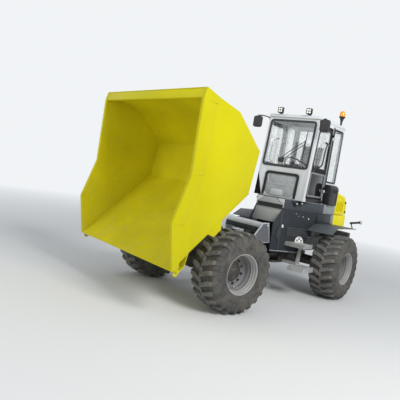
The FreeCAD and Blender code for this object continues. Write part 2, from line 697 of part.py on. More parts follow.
def cab():
    half = size("cab_half")
    post = size("cab_post")
    front = size("cab_front_x")
    rear = size("cab_rear_x")
    low = size("cab_floor_z")
    high = size("cab_roof_z")
    lean_x = size("cab_lean")
    eaves = high - 60
    header = eaves - 66
    top_front = front - lean_x
    thick = 50
    sill = low + 430
    door_rear = size("door_rear_x")
    pane_y = half - 14

    outline = [(front, low), (top_front, eaves), (rear, eaves), (rear, low)]
    door = [(front - 70, low + post), (top_front - 66, header), (door_rear, header), (door_rear, low + post)]
    quarter = [(door_rear - 55, sill), (door_rear - 55, header), (rear + post, header, 60),
               (rear + post, sill, 40)]
    parts = [pad(f"cab_side_{where}", "XZ", [outline, door, quarter], thick, sign * (half - thick / 2))
             for where, sign in SIDES]

    # The front wall and its panes are drawn upright, then leaned back with the posts
    lean = math.degrees(math.atan2(lean_x, eaves - low))
    leaned = Placement(Vector(front, 0, low), Rotation(Y_AXIS, -lean))
    tall = (eaves - low) / math.cos(math.radians(lean))
    wide = half - 1
    pillar = half - post
    screen = [(-pillar, 590), (pillar, 590), (pillar, tall - post, 50), (-pillar, tall - post, 50)]
    lower = [(-330, 70, 40), (330, 70, 40), (330, 450, 40), (-330, 450, 40)]
    wall = pad("cab_front_wall", "YZ", [[(-wide, 5), (wide, 5), (wide, tall), (-wide, tall)], screen, lower],
               40, -22)
    wall.Placement = leaned
    back_pane = [(-pillar, sill, 40), (pillar, sill, 40), (pillar, header, 40), (-pillar, header, 40)]
    back = pad("cab_back_wall", "YZ", [[(-wide, low), (wide, low), (wide, eaves), (-wide, eaves)], back_pane],
               40, rear + 21)
    base = block("cab_base", (rear + 1, -wide, low), (front - 5, wide, low + 20))
    hinges = [piece for where, sign in SIDES for i, level in enumerate(DOOR_HINGES)
              for piece in door_hinge(f"cab_hinge_{where}_{i}", sign, level, "pin")]
    node("cab_frame", joined("cab_frame", [*parts, wall, back, base, *hinges]))

    ridge = [(top_front + 30, eaves + GAP), (top_front + 10, high, 25), (ROOF_RIDGE_X, high + 10),
             (rear - 10, high - 20, 35), (rear - 20, eaves + GAP)]
    node("cab_roof", pad("cab_roof", "XZ", [ridge], 2 * half + 20))

    node("windscreen", pad("windscreen", "YZ", [shrunk(screen, GAP)], "dims.glass", -14), leaned)
    node("lower_window", pad("lower_window", "YZ", [shrunk(lower, GAP)], "dims.glass", -14), leaned)
    node("rear_window", pad("rear_window", "YZ", [shrunk(back_pane, GAP)], "dims.glass", rear + 14))
    for where, sign in SIDES:
        node(f"quarter_window_{where}", pad(f"quarter_window_{where}", "XZ", [shrunk(quarter, GAP)],
                                            "dims.glass", sign * pane_y))
        leaf = shrunk(door, size("door_gap"))
        light = [(-770, low + 630, 20), (-850, header - 64, 30), (door_rear + 55, header - 64, 30),
                 (door_rear + 55, low + 630, 20)]
        panel = pad(f"door_leaf_{where}", "XZ", [leaf, light], "dims.door_thick", sign * (half - 17))
        eyes = [piece for i, level in enumerate(DOOR_HINGES)
                for piece in door_hinge(f"door_hinge_{where}_{i}", sign, level, "eye")]
        pin_line = [(DOOR_PIN_X, sign * DOOR_PIN_Y, z) for z in (low, high)]
        bore = round_bar(f"door_pin_hole_{where}", *pin_line, "(dims.hinge_pin + dims.fit) * 1 mm")
        node(f"door_{where}", less(f"door_{where}", joined(f"door_body_{where}", [panel, *eyes]), [bore]))
        node(f"door_window_{where}", pad(f"door_window_{where}", "XZ", [shrunk(light, GAP)], "dims.glass",
                                         sign * pane_y))


def cab_inside():
    floor = size("cab_floor_z") + 20 + GAP
    seat_low = block("seat_base", (-1650, -220, floor), (-1260, 220, floor + 360))
    cushion = pad("seat_cushion", "XZ", [[(-1700, floor + 355), (-1700, floor + 480), (-1190, floor + 480, 40),
                                          (-1190, floor + 355, 20)]], 500)
    back = pad("seat_back", "XZ", [[(-1670, floor + 460), (-1560, floor + 460), (-1660, floor + 1100, 40),
                                    (-1780, floor + 1100, 40)]], 460)
    node("seat", joined("seat", [seat_low, cushion, back]))

    # The column stands square on the slanted rear face of the dashboard
    upper, lower = Vector(-850, 0, floor + 540), Vector(-930, 0, floor + 450)
    node("dashboard", pad("dashboard", "XZ", [[(-720, floor), (-790, upper.z, 30), (upper.x, upper.z),
                                               (lower.x, lower.z), (-860, floor)]], 700))
    slant = (lower - upper).normalize()
    out = Vector(slant.z, 0, -slant.x)
    foot = (upper + lower) / 2 + out * GAP
    wheel = foot + out * 190
    column = round_bar("steering_column", foot, wheel + out * 15, 26)
    tilt = Placement(wheel, Rotation(Z_AXIS, out))
    rim_hole, rim_edge, thick = 170, 200, 26
    ring = less("steering_ring", round_bar("steering_ring_outer", (0, 0, 0), (0, 0, thick), rim_edge),
                [round_bar("steering_ring_inner", (0, 0, -1), (0, 0, thick + 1), rim_hole)])
    ring.Placement = tilt
    spokes = []
    for i, turn in enumerate((0, 120, 240)):
        spoke = block(f"steering_spoke_{i}", (0, -16, 6), (rim_hole + 10, 16, 18))
        spoke.Placement = tilt * Placement(Vector(), Rotation(Z_AXIS, turn)) * spoke.Placement
        spokes.append(spoke)
    node("steering_wheel", joined("steering_wheel", [column, ring, *spokes]))


# Front frame

TIP_BASE = Vector(500, 0, 215)
TIP_EYE = Vector(-450, 0, -12)


def front_frame():
    half = size("front_frame_half")
    top = size("frame_top_z")
    low = size("frame_low_z")
    boss = PIVOT.z + 55
    rear = 420
    side = [(rear, 15), (rear, top - 100), (rear + 100, top), (PIVOT.x - 160, top),
            (PIVOT.x - 70, boss, 60), (PIVOT.x + 70, boss, 60), (PIVOT.x + 190, top),
            (PIVOT.x + 260, top - 100), (PIVOT.x + 260, low + 20), (1520, low), (1180, low), (900, 55)]
    plates = [pad(f"front_plate_{where}", "XZ", [side], "dims.plate", sign * (half - PLATE / 2))
              for where, sign in SIDES]
    crosses = [block(f"front_cross_{i}", (x, PLATE / 2 - half, low + 20), (x + PLATE, half - PLATE / 2, high))
               for i, (x, high) in enumerate(((900, top - 110), (PIVOT.x + 200, top - 60)))]
    face = block("front_face", (rear, -half, -25), (rear + PLATE, half, top - 100))
    lug = [(rear + 5, -150), (rear + 5, 150), (60, 100, 60), (-95, 100, 90), (-95, -100, 90), (60, -100, 60)]
    lugs = [pad(f"steering_lug_{where}", "XY", [lug], ARM_THICK, level - away * ARM_OFFSET)
            for where, level, away in JOINT_LEVELS]
    pins = [round_bar(f"skip_pin_{where}", (PIVOT.x, sign * (half - 15), PIVOT.z),
                      (PIVOT.x, sign * (size("rib_half") + 40), PIVOT.z), "dims.pivot_pin * 1 mm")
            for where, sign in SIDES]
    # Seat, upright ears and pin of the tipping cylinder's base
    seat = block("tip_ram_seat", (rear + 10, -110, TIP_BASE.z - 100), (rear + 100, 110, TIP_BASE.z - 80))
    ears = [block(f"tip_ram_ear_{side}", (rear + 10, 60, TIP_BASE.z - 90),
                  (rear + 125, 76, TIP_BASE.z + 80), sign) for side, sign in SIDES]
    reach = Vector(0, 86, 0)
    base_pin = round_bar("tip_ram_base_pin", TIP_BASE - reach, TIP_BASE + reach, 20)
    cheeks = cheeks_about("steer_cheek", (STEER_EYE.x - 35, STEER_EYE.y - 50), (rear + 5, STEER_EYE.y + 45))
    whole = joined("front_frame_body", [*plates, *crosses, face, *lugs, *pins, seat, *ears, base_pin, *cheeks])
    bore = round_bar("steering_pin_hole", (0, 0, -85), (0, 0, 305), "(dims.steer_pin + dims.fit) * 1 mm")
    lash_x, lash_z = PIVOT.x + 215, low + 110
    lash = round_bar("lashing_hole", (lash_x, -half - 10, lash_z), (lash_x, half + 10, lash_z),
                     "dims.lash_hole * 1 mm")
    node("front_frame", less("front_frame", whole, [bore, lash]), STEER)

    # Grey gantry over the steering joint: two sides on the frame's plates, a rolled top
    gantry_y = half + 60
    outline = [(30, 335), (350, 315), (350, 255), (480, 255), (480, 375), (450, 415), (260, 655, 30),
               (110, 665, 30)]
    sides = [pad(f"gantry_side_{where}", "XZ", [outline], 12, sign * gantry_y) for where, sign in SIDES]
    roll = pad("gantry_roll", "XZ", [[(110, 480), (110, 655, 84), (280, 655, 84), (280, 480), (268, 480),
                                      (268, 643, 72), (122, 643, 72), (122, 480)]], 2 * gantry_y)
    feet = [block(f"gantry_foot_{where}", (440, half + GAP, 265), (480, gantry_y, 305), sign)
            for where, sign in SIDES]
    node("gantry", joined("gantry", [*sides, roll, *feet]), STEER)


# Skip, drawn level from its pivot

SKIP_BOTTOM = ((-1475, 1380), (-1475, 730), (-1185, 150), (-595, 65), (741, 846))
SKIP_RIM = ((-1475, 1380), (-1340, 1372), (-418, 1105), (205, 1118), (741, 846))
SKIP_FOLD = ((-1475, 1135), (-1385, 1112), (-520, 890), (160, 890), (685, 730))


def under_floor(along, depth):
    """A point below the skip's sloping floor, along it from its lower bend."""
    (x0, z0), (x1, z1) = SKIP_BOTTOM[-2:]
    run = math.hypot(x1 - x0, z1 - z0)
    dx, dz = (x1 - x0) / run, (z1 - z0) / run
    return x0 + dx * along + dz * depth, z0 + dz * along - dx * depth


def skip():
    half = size("skip_half")
    rim_half = half + size("rim_box")
    thick = size("skip_plate")
    back, top = SKIP_BOTTOM[0]
    lip = SKIP_BOTTOM[-1]

    outline = [*SKIP_BOTTOM, *reversed(SKIP_RIM[1:-1])]
    hollow = [*inset(SKIP_BOTTOM, thick), (lip[0] + 300, lip[1] + 175), (lip[0] + 300, top + 200),
              (back + thick, top + 200)]
    tub = less("tub", pad("tub_outside", "XZ", [outline], "2 * dims.skip_half * 1 mm"),
               [pad("tub_inside", "XZ", [hollow], 2 * (half - thick))])
    tab = [(-110, 349), (11, 299), (136, 372), (137, 485)]
    tabs = [pad(f"tab_{where}", "XZ", [tab], thick, sign * (half - thick / 2)) for where, sign in SIDES]
    # Boxed lip under the floor's front edge, open at its ends
    box = [(435, 671), (645, 655), (740, 723), (740, 849)]
    box_hollow = [(475, 678), (642, 666), (729, 729), (729, 826)]
    lip_box = pad("lip_box", "XZ", [box, box_hollow], "2 * dims.skip_half * 1 mm")
    node("skip_tub", joined("skip_tub", [tub, *tabs, lip_box]), TIPPED)

    # Boxed rims outside the side plates, mitred at each bend of the rim
    bands = []
    for i in range(len(SKIP_RIM) - 1):
        ends = []
        for j in (i, i + 1):
            (rx, rz), (fx, fz) = SKIP_RIM[j], SKIP_FOLD[j]
            ends.append([(rx, half, rz), (rx, rim_half, rz), (fx, half + 3, fz), (fx, half, fz)])
        bands.append(solid_between(*ends))
    band = bands[0].multiFuse(bands[1:])
    node("skip_rim_left", fixed_shape("skip_rim_left", band), TIPPED)
    node("skip_rim_right", fixed_shape("skip_rim_right", mirrored(band)), TIPPED)
    wall = back + thick + GAP
    rear = [(wall, top - 1), SKIP_RIM[1], (SKIP_RIM[1][0], top - 50), (wall, SKIP_FOLD[0][1])]
    node("skip_rim_rear", pad("skip_rim_rear", "XZ", [rear], 2 * (half - thick - GAP)), TIPPED)

    # Underside: pivot ears, lugs for the tipping cylinder, cross beam, ribs
    rib_y = size("rib_half")
    reach = 66
    ear = [under_floor(399, GAP), (-reach, -reach, 60), (reach, -reach, 60), under_floor(978, GAP)]
    rib = [under_floor(60, GAP), under_floor(1180, GAP), under_floor(1180, 14), under_floor(980, 60),
           under_floor(120, 60)]
    lug = [under_floor(40, GAP), (TIP_EYE.x - 45, TIP_EYE.z - 48, 40), (TIP_EYE.x + 45, TIP_EYE.z - 48, 40),
           under_floor(376, GAP)]
    beam = [under_floor(434, GAP), under_floor(594, GAP), under_floor(594, 82), under_floor(434, 82)]
    doubler = [under_floor(30, GAP), under_floor(520, GAP), under_floor(520, 12), under_floor(30, 12)]
    pieces = [pad("hinge_beam", "XZ", [beam], 2 * rib_y + 60), pad("ram_doubler", "XZ", [doubler], 200)]
    for where, sign in SIDES:
        pieces.append(pad(f"hinge_ear_{where}", "XZ", [ear], 25, sign * rib_y))
        pieces.append(pad(f"floor_rib_{where}", "XZ", [rib], 50, sign * rib_y))
        pieces.append(pad(f"ram_lug_{where}", "XZ", [lug], 16, sign * 68))
        pieces.append(round_bar(f"ram_boss_{where}", (TIP_EYE.x, sign * 70, TIP_EYE.z),
                                (TIP_EYE.x, sign * 92, TIP_EYE.z), 24))
    bore = round_bar("skip_pivot_hole", (0, -rib_y - 40, 0), (0, rib_y + 40, 0),
                     "(dims.pivot_pin + dims.fit) * 1 mm")
    node("skip_hinge", less("skip_hinge", joined("skip_hinge_body", pieces), [bore]), TIPPED)


# Cylinders: each is drawn along +X from its base pin, then aimed at its eye

def ram(name, base, eye, closed, sizes, across, pose=Placement()):
    """Barrel and rod between two eyes. closed is the shortest distance between the pins."""
    radius, rod, pin = sizes
    length = (eye - base).Length
    mouth = closed - radius - 8
    bottom = radius + 15
    start = bottom + length - closed + 10
    reach = across * RAM_EYE_HALF
    far = Vector(length, 0, 0)
    barrel = joined(f"{name}_barrel_body", [
        round_bar(f"{name}_tube", (radius - 6, 0, 0), (mouth, 0, 0), radius),
        round_bar(f"{name}_base_eye", -reach, reach, radius)])
    barrel = less(f"{name}_barrel", barrel, [
        round_bar(f"{name}_bore", (bottom, 0, 0), (mouth + 10, 0, 0), rod + FIT),
        round_bar(f"{name}_base_hole", reach * -2, reach * 2, pin + FIT)])
    rod_piece = joined(f"{name}_rod", [
        round_bar(f"{name}_shaft", (start, 0, 0), (length - radius + 6, 0, 0), rod),
        round_bar(f"{name}_rod_eye", far - reach, far + reach, radius)])
    aim = pose * Placement(base, Rotation(X_AXIS, eye - base))
    node(f"{name}_barrel", barrel, aim)
    node(f"{name}_rod", rod_piece, aim)


def rams():
    tipped_eye = STEER.inverse().multVec(TIPPED.multVec(TIP_EYE))
    ram("tip_ram", TIP_BASE, tipped_eye, (PIVOT + TIP_EYE - TIP_BASE).Length, (55, 32, 20), Y_AXIS, STEER)
    turned_left = Rotation(Z_AXIS, size("steer_limit")).multVec(STEER_EYE)
    ram("steer_ram", STEER_BASE, STEER.multVec(STEER_EYE), (turned_left - STEER_BASE).Length,
        (36, 20, 16), Z_AXIS)


wheels()
axles()
rear_frame()
rear_body()
hood()
rear_panel()
for side_name, side_sign in SIDES:
    wing(side_name, side_sign)
    steps(side_name, side_sign)
    storage_box(side_name, side_sign)
    work_lamp(side_name, side_sign)
    mirror(side_name, side_sign)
beacon()
cab()
cab_inside()
front_frame()
skip()
rams()
doc.recompute()

DATUM = Placement(Vector(-size("datum_x"), -size("datum_y"), size("tyre_radius")), Rotation())
for label, (feature, pose) in NODES.items():
    feature.Placement = DATUM * pose * feature.Placement
doc.recompute()

for feature in doc.Objects:
    if "Invalid" in feature.State or "Error" in feature.State:
        raise ValueError(f"{feature.Name} failed: {feature.State}")
for label, (feature, pose) in NODES.items():
    shape = feature.Shape
    if shape.isNull() or not shape.isValid() or shape.Volume <= 0:
        raise ValueError(f"{label} has no valid shape")
    if len(shape.Solids) != 1:
        print(label, "has", len(shape.Solids), "solids")
os.makedirs("parts", exist_ok=True)
for label, (feature, pose) in NODES.items():
    feature.Shape.exportStep(f"parts/{label}.step")
print(len(NODES), "sub-parts")
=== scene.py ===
# %% [markdown]
# # Site dumper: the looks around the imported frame
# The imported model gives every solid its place. This file keeps those places and adds what a
# maker sees from a step away: rounded edges, paint, rubber, glass, lamps and fastenings. The
# pieces are modelled with Blender's own operators, as by hand, so that each step can be
# repeated in the window.

# %% Load the frame
import bpy
import bmesh
import json
import math
from mathutils import Matrix, Vector

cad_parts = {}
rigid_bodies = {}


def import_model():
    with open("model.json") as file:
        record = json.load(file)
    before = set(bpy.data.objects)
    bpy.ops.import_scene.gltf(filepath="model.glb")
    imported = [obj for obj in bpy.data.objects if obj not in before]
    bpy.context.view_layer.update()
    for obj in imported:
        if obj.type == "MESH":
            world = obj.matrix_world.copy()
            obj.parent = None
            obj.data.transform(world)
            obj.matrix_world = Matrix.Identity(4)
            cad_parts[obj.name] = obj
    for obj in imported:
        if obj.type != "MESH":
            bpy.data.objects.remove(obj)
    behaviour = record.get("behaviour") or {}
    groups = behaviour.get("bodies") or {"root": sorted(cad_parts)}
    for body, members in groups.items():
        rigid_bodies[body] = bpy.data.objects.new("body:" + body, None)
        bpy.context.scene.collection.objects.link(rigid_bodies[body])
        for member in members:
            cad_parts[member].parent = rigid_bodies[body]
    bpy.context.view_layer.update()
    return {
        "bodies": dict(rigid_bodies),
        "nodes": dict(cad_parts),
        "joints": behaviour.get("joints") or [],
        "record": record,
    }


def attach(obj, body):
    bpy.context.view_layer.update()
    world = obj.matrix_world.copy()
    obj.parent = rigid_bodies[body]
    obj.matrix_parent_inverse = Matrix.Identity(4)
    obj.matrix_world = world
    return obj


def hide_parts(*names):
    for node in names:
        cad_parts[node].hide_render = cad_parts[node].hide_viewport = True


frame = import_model()
nodes = frame["nodes"]
scene = bpy.context.scene

# %% [markdown]
# The machine has three frames of reference. The rear frame is square to the row frame. The
# front frame is turned to the right about the steering pin, and the skip is tipped on the
# front frame's pivot. A piece is modelled straight, in the frame that it belongs to, and then
# its mesh is carried over by one of these matrices, which is easier than modelling it turned.

# %% The three frames of reference
REAR = Matrix.Translation((-0.163, 0.269, 0))
FRONT = REAR @ Matrix.Rotation(math.radians(-11.6), 4, "Z")
SKIP = FRONT @ Matrix.Translation((1.6, 0, 1.12)) @ Matrix.Rotation(math.radians(74), 4, "Y")
SIDES = (("left", 1), ("right", -1))
AXLE_Z = 0.585

# %% [markdown]
# The camera stands low, in front of the machine and on its left, as in the photograph. It is
# given by where it stands and by the directions of the picture's right, up and forward edges.
# It leans, because the real machine stood on a slope.

# %% Camera
def camera_axes(azimuth, pitch, roll):
    """Right, up and forward directions of a camera."""
    forward = Vector((math.cos(azimuth) * math.cos(pitch), math.sin(azimuth) * math.cos(pitch),
                      math.sin(pitch)))
    level = Vector((math.sin(azimuth), -math.cos(azimuth), 0))
    upright = level.cross(forward)
    right = level * math.cos(roll) + upright * math.sin(roll)
    up = upright * math.cos(roll) - level * math.sin(roll)
    return right, up, forward


right, up, forward = camera_axes(math.radians(-141.48), math.radians(-3.04), math.radians(9.37))
bpy.ops.object.camera_add(location=(7.048, 4.720, 1.867))
camera = bpy.context.object
camera.rotation_euler = Matrix((right, up, -forward)).transposed().to_euler()
camera.data.sensor_width = 36
camera.data.lens = 481.3 / 400 * 36
camera.data.clip_end = 200
scene.camera = camera
print("camera lens", round(camera.data.lens, 1), "mm")

# %% [markdown]
# The stage is a wide pale floor, a soft pale surround and two large lamps. The floor and the
# surround show as nearly white to the camera and in reflections, but they light the machine
# only softly, so that its colours stay as they are written.

# %% Stage and light
BACKDROP = (0.88, 0.90, 0.92)


def plain_stage_material():
    """Pale floor that keeps the shadow near the machine and fades into the surround."""
    finish = bpy.data.materials.new("pale_floor")
    finish.use_nodes = True
    shader = finish.node_tree.nodes["Principled BSDF"]
    shader.inputs["Base Color"].default_value = (0.72, 0.72, 0.71, 1)
    shader.inputs["Roughness"].default_value = 0.9
    tree = finish.node_tree
    far = tree.nodes.new("ShaderNodeEmission")
    far.inputs["Color"].default_value = (*BACKDROP, 1)
    spot = tree.nodes.new("ShaderNodeTexCoord")
    reach = tree.nodes.new("ShaderNodeVectorMath")
    reach.operation = "LENGTH"
    fade = tree.nodes.new("ShaderNodeMapRange")
    fade.inputs["From Min"].default_value = 5.0
    fade.inputs["From Max"].default_value = 16.0
    blend = tree.nodes.new("ShaderNodeMixShader")
    tree.links.new(spot.outputs["Object"], reach.inputs[0])
    tree.links.new(reach.outputs["Value"], fade.inputs["Value"])
    tree.links.new(fade.outputs["Result"], blend.inputs["Fac"])
    tree.links.new(shader.outputs[0], blend.inputs[1])
    tree.links.new(far.outputs[0], blend.inputs[2])
    tree.links.new(blend.outputs[0], tree.nodes["Material Output"].inputs["Surface"])
    return finish


bpy.ops.object.select_all(action="DESELECT")
bpy.ops.mesh.primitive_plane_add(size=120, location=(0, 0, 0))
floor = bpy.context.object
floor.name = "stage_floor"
floor.data.materials.append(plain_stage_material())

world = bpy.data.worlds.new("surround")
scene.world = world
world.use_nodes = True
tree = world.node_tree
background = tree.nodes["Background"]
background.inputs["Color"].default_value = (0.86, 0.92, 1.0, 1)
background.inputs["Strength"].default_value = 0.50
seen = tree.nodes.new("ShaderNodeBackground")
seen.inputs["Color"].default_value = (*BACKDROP, 1)
seen.inputs["Strength"].default_value = 1.0
paths = tree.nodes.new("ShaderNodeLightPath")
either = tree.nodes.new("ShaderNodeMath")
either.operation = "MAXIMUM"
either_glass = tree.nodes.new("ShaderNodeMath")
either_glass.operation = "MAXIMUM"
choose = tree.nodes.new("ShaderNodeMixShader")
tree.links.new(paths.outputs["Is Camera Ray"], either.inputs[0])
tree.links.new(paths.outputs["Is Glossy Ray"], either.inputs[1])
tree.links.new(either.outputs[0], either_glass.inputs[0])
tree.links.new(paths.outputs["Is Transmission Ray"], either_glass.inputs[1])
tree.links.new(either_glass.outputs[0], choose.inputs["Fac"])
tree.links.new(background.outputs[0], choose.inputs[1])
tree.links.new(seen.outputs[0], choose.inputs[2])
tree.links.new(choose.outputs[0], tree.nodes["World Output"].inputs["Surface"])


def soft_lamp(name, place, target, size, power):
    """A large square lamp aimed at a point."""
    bpy.ops.object.light_add(type="AREA", location=place)
    lamp = bpy.context.object
    lamp.name = name
    lamp.data.size = size
    lamp.data.energy = power
    lamp.rotation_euler = (Vector(target) - Vector(place)).to_track_quat("-Z", "Y").to_euler()


soft_lamp("key_lamp", (3.6, 9.5, 8.5), (0.3, 0, 1.3), 4, 980)
soft_lamp("fill_lamp", (9.0, -3.5, 5.5), (0.8, 0, 1.3), 6, 240)
scene.view_settings.view_transform = "Standard"

# %% [markdown]
# ## Finishes
# Every finish is built from the same few steps: a base colour, slow clouds that vary it, dust
# that lies thicker near the ground, and a fine bump. The patterns read Object coordinates, in
# metres, so they keep their real scale on every piece.

# %% Node helpers for the finishes
def new_finish(name, colour, roughness, metallic=0.0):
    """A material and its shader, with the plain values set on the sockets."""
    finish = bpy.data.materials.new(name)
    finish.use_nodes = True
    shader = finish.node_tree.nodes["Principled BSDF"]
    shader.inputs["Base Color"].default_value = (*colour, 1)
    shader.inputs["Roughness"].default_value = roughness
    shader.inputs["Metallic"].default_value = metallic
    return finish, finish.node_tree, shader


def place_nodes(tree):
    """Object coordinates, the same for every pattern of one finish."""
    return tree.nodes.new("ShaderNodeTexCoord").outputs["Object"]


def noise(tree, coordinates, scale, detail=4.0, roughness=0.55, stretch=None):
    """A grey cloud from 0 to 1; stretch squeezes it along X, Y or Z."""
    if stretch:
        mapping = tree.nodes.new("ShaderNodeMapping")
        mapping.inputs["Scale"].default_value = stretch
        tree.links.new(coordinates, mapping.inputs["Vector"])
        coordinates = mapping.outputs[0]
    cloud = tree.nodes.new("ShaderNodeTexNoise")
    cloud.inputs["Scale"].default_value = scale
    cloud.inputs["Detail"].default_value = detail
    cloud.inputs["Roughness"].default_value = roughness
    tree.links.new(coordinates, cloud.inputs["Vector"])
    return cloud.outputs["Fac"]


def ranged(tree, value, low, high, to_low=0.0, to_high=1.0):
    """A value moved from one range to another, and held inside it."""
    step = tree.nodes.new("ShaderNodeMapRange")
    step.inputs["From Min"].default_value = low
    step.inputs["From Max"].default_value = high
    step.inputs["To Min"].default_value = to_low
    step.inputs["To Max"].default_value = to_high
    tree.links.new(value, step.inputs["Value"])
    return step.outputs["Result"]


def product(tree, first, second):
    """Two greys multiplied."""
    step = tree.nodes.new("ShaderNodeMath")
    step.operation = "MULTIPLY"
    tree.links.new(first, step.inputs[0])
    if isinstance(second, float):
        step.inputs[1].default_value = second
    else:
        tree.links.new(second, step.inputs[1])
    return step.outputs[0]


def mixed(tree, share, first, second):
    """Two colours mixed; a colour is a socket or three numbers."""
    step = tree.nodes.new("ShaderNodeMix")
    step.data_type = "RGBA"
    tree.links.new(share, step.inputs[0])
    for socket, colour in ((step.inputs[6], first), (step.inputs[7], second)):
        if isinstance(colour, tuple):
            socket.default_value = (*colour, 1)
        else:
            tree.links.new(colour, socket)
    return step.outputs[2]


def bumped(tree, shader, height, strength, distance):
    """A fine relief on the surface."""
    step = tree.nodes.new("ShaderNodeBump")
    step.inputs["Strength"].default_value = strength
    step.inputs["Distance"].default_value = distance
    tree.links.new(height, step.inputs["Height"])
    tree.links.new(step.outputs["Normal"], shader.inputs["Normal"])


def height_of(tree, coordinates):
    """Height over the ground in metres."""
    split = tree.nodes.new("ShaderNodeSeparateXYZ")
    tree.links.new(coordinates, split.inputs[0])
    return split.outputs["Z"]


# %% [markdown]
# Sprayed paint is the main finish. Real paint on a working machine is not one flat colour: it
# is a little paler where the sun has worked on it, it has an orange-peel surface that breaks
# up reflections, and dry earth clings to it, most of all low down.

# %% Sprayed paint
EARTH = (0.33, 0.27, 0.19)


def paint(name, colour, roughness=0.38, dust=0.35, dust_top=1.4, speckle=0.0, shade=0.86, sheen=0.4):
    """Sprayed paint with clouds, orange peel and dust below dust_top metres."""
    finish, tree, shader = new_finish(name, colour, roughness)
    spot = place_nodes(tree)
    clouds = ranged(tree, noise(tree, spot, 1.7), 0.35, 0.7)
    darker = tuple(channel * shade for channel in colour)
    coat = mixed(tree, clouds, darker, colour)
    low = ranged(tree, height_of(tree, spot), 0.1, dust_top, 1.0, 0.12)
    patches = ranged(tree, noise(tree, spot, 6.0, 8.0, 0.7), 0.42, 0.72)
    dusty = product(tree, product(tree, low, patches), dust)
    coat = mixed(tree, dusty, coat, EARTH)
    if speckle:
        grit = ranged(tree, noise(tree, spot, 55.0, 6.0, 0.7), 0.60, 0.68, 0.0, speckle)
        coat = mixed(tree, grit, coat, tuple(channel * 0.35 for channel in EARTH))
    tree.links.new(coat, shader.inputs["Base Color"])
    shader.inputs["Specular IOR Level"].default_value = sheen
    rough = ranged(tree, noise(tree, spot, 9.0), 0.3, 0.75, roughness - 0.07, roughness + 0.16)
    tree.links.new(rough, shader.inputs["Roughness"])
    bumped(tree, shader, noise(tree, spot, 420.0, 2.0), 0.12, 0.0006)
    return finish


finishes = {
    "skip_yellow": paint("skip_yellow", (0.60, 0.54, 0.002), 0.38, 0.20, 1.2, 0.0, 0.92, 0.12),
    # The inside of the skip: a more ochre copy of the skip paint, toned as painted shade and light inside the tub; its
    # speckle is scratches and grit.
    "skip_inside_painted_shade": paint("skip_inside_painted_shade", (0.66, 0.57, 0.003), 0.55, 0.25, 2.0, 0.55, 0.84, 0.10),
    "hood_yellow": paint("hood_yellow", (0.88, 0.77, 0.004), 0.36, 0.12, 1.6, 0.0, 0.92, 0.12),
    "cab_grey": paint("cab_grey", (0.73, 0.75, 0.78), 0.33, 0.10, 1.9, 0.0, 0.92),
    "cowl_grey": paint("cowl_grey", (0.48, 0.49, 0.485), 0.5, 0.15, 1.6),
    # slate is matched to the shaded lower side panels and the next paint to the lit band under the cab: lit and shaded
    # copies of one slate paint, painted shade and painted light.
    "slate": paint("slate", (0.022, 0.027, 0.033), 0.40, 0.10, 1.3, 0.0, 0.9, 0.22),
    "slate_painted_lit": paint("slate_painted_lit", (0.052, 0.060, 0.068), 0.40, 0.10, 1.3, 0.0, 0.9, 0.25),
    "wing_grey": paint("wing_grey", (0.088, 0.100, 0.110), 0.36, 0.15, 1.3, 0.0, 0.9, 0.30),
    "slate_light": paint("slate_light", (0.27, 0.29, 0.31), 0.38, 0.12, 1.3),
    "cap_grey": paint("cap_grey", (0.25, 0.255, 0.26), 0.5, 0.15, 1.6),
    "gantry_grey": paint("gantry_grey", (0.66, 0.68, 0.71), 0.40, 0.15, 1.3),
    "gantry_side": paint("gantry_side", (0.108, 0.115, 0.128), 0.45, 0.25, 1.4),
    "frame_dark": paint("frame_dark", (0.030, 0.032, 0.034), 0.5, 0.35, 1.2),
    "door_black": paint("door_black", (0.010, 0.010, 0.011), 0.34, 0.05, 2.2, 0.0, 0.86, 0.05),
}
print("paints", len(finishes))

# %% [markdown]
# Cast iron, galvanised steel, chromed rods, rubber, moulded plastic and glass each get their
# own recipe, because they differ in more than colour: galvanised steel has crystals, a tyre
# is matt and grey with dried earth between its lugs, and a chromed rod is the only polished
# surface on the machine.

# %% Metals, rubber, plastics and glass
def cast_iron(name, colour):
    """Rough painted casting with oily dust."""
    finish, tree, shader = new_finish(name, colour, 0.62)
    spot = place_nodes(tree)
    dusty = ranged(tree, noise(tree, spot, 8.0, 8.0, 0.7), 0.45, 0.75, 0.0, 0.5)
    tree.links.new(mixed(tree, dusty, colour, EARTH), shader.inputs["Base Color"])
    bumped(tree, shader, noise(tree, spot, 160.0, 5.0), 0.35, 0.0015)
    return finish


def galvanised(name):
    """Hot-dip zinc: pale crystals, a soft sheen."""
    finish, tree, shader = new_finish(name, (0.52, 0.53, 0.52), 0.42, 0.75)
    spot = place_nodes(tree)
    crystals = tree.nodes.new("ShaderNodeTexVoronoi")
    crystals.inputs["Scale"].default_value = 90
    tree.links.new(spot, crystals.inputs["Vector"])
    pale = ranged(tree, crystals.outputs["Distance"], 0.0, 0.8)
    zinc = mixed(tree, pale, (0.52, 0.53, 0.53), (0.76, 0.77, 0.76))
    dusty = ranged(tree, noise(tree, spot, 9.0, 8.0, 0.7), 0.5, 0.75, 0.0, 0.55)
    tree.links.new(mixed(tree, dusty, zinc, EARTH), shader.inputs["Base Color"])
    tree.links.new(ranged(tree, pale, 0.0, 1.0, 0.34, 0.52), shader.inputs["Roughness"])
    return finish


def moulded_plastic(name, colour, roughness=0.55, grain=900.0):
    """Grained plastic that has greyed a little in the sun."""
    finish, tree, shader = new_finish(name, colour, roughness)
    spot = place_nodes(tree)
    greyed = ranged(tree, noise(tree, spot, 12.0, 6.0), 0.4, 0.75, 0.0, 0.35)
    faded = tuple(min(1.0, channel * 1.6 + 0.02) for channel in colour)
    tree.links.new(mixed(tree, greyed, colour, faded), shader.inputs["Base Color"])
    bumped(tree, shader, noise(tree, spot, grain, 2.0), 0.25, 0.0004)
    return finish


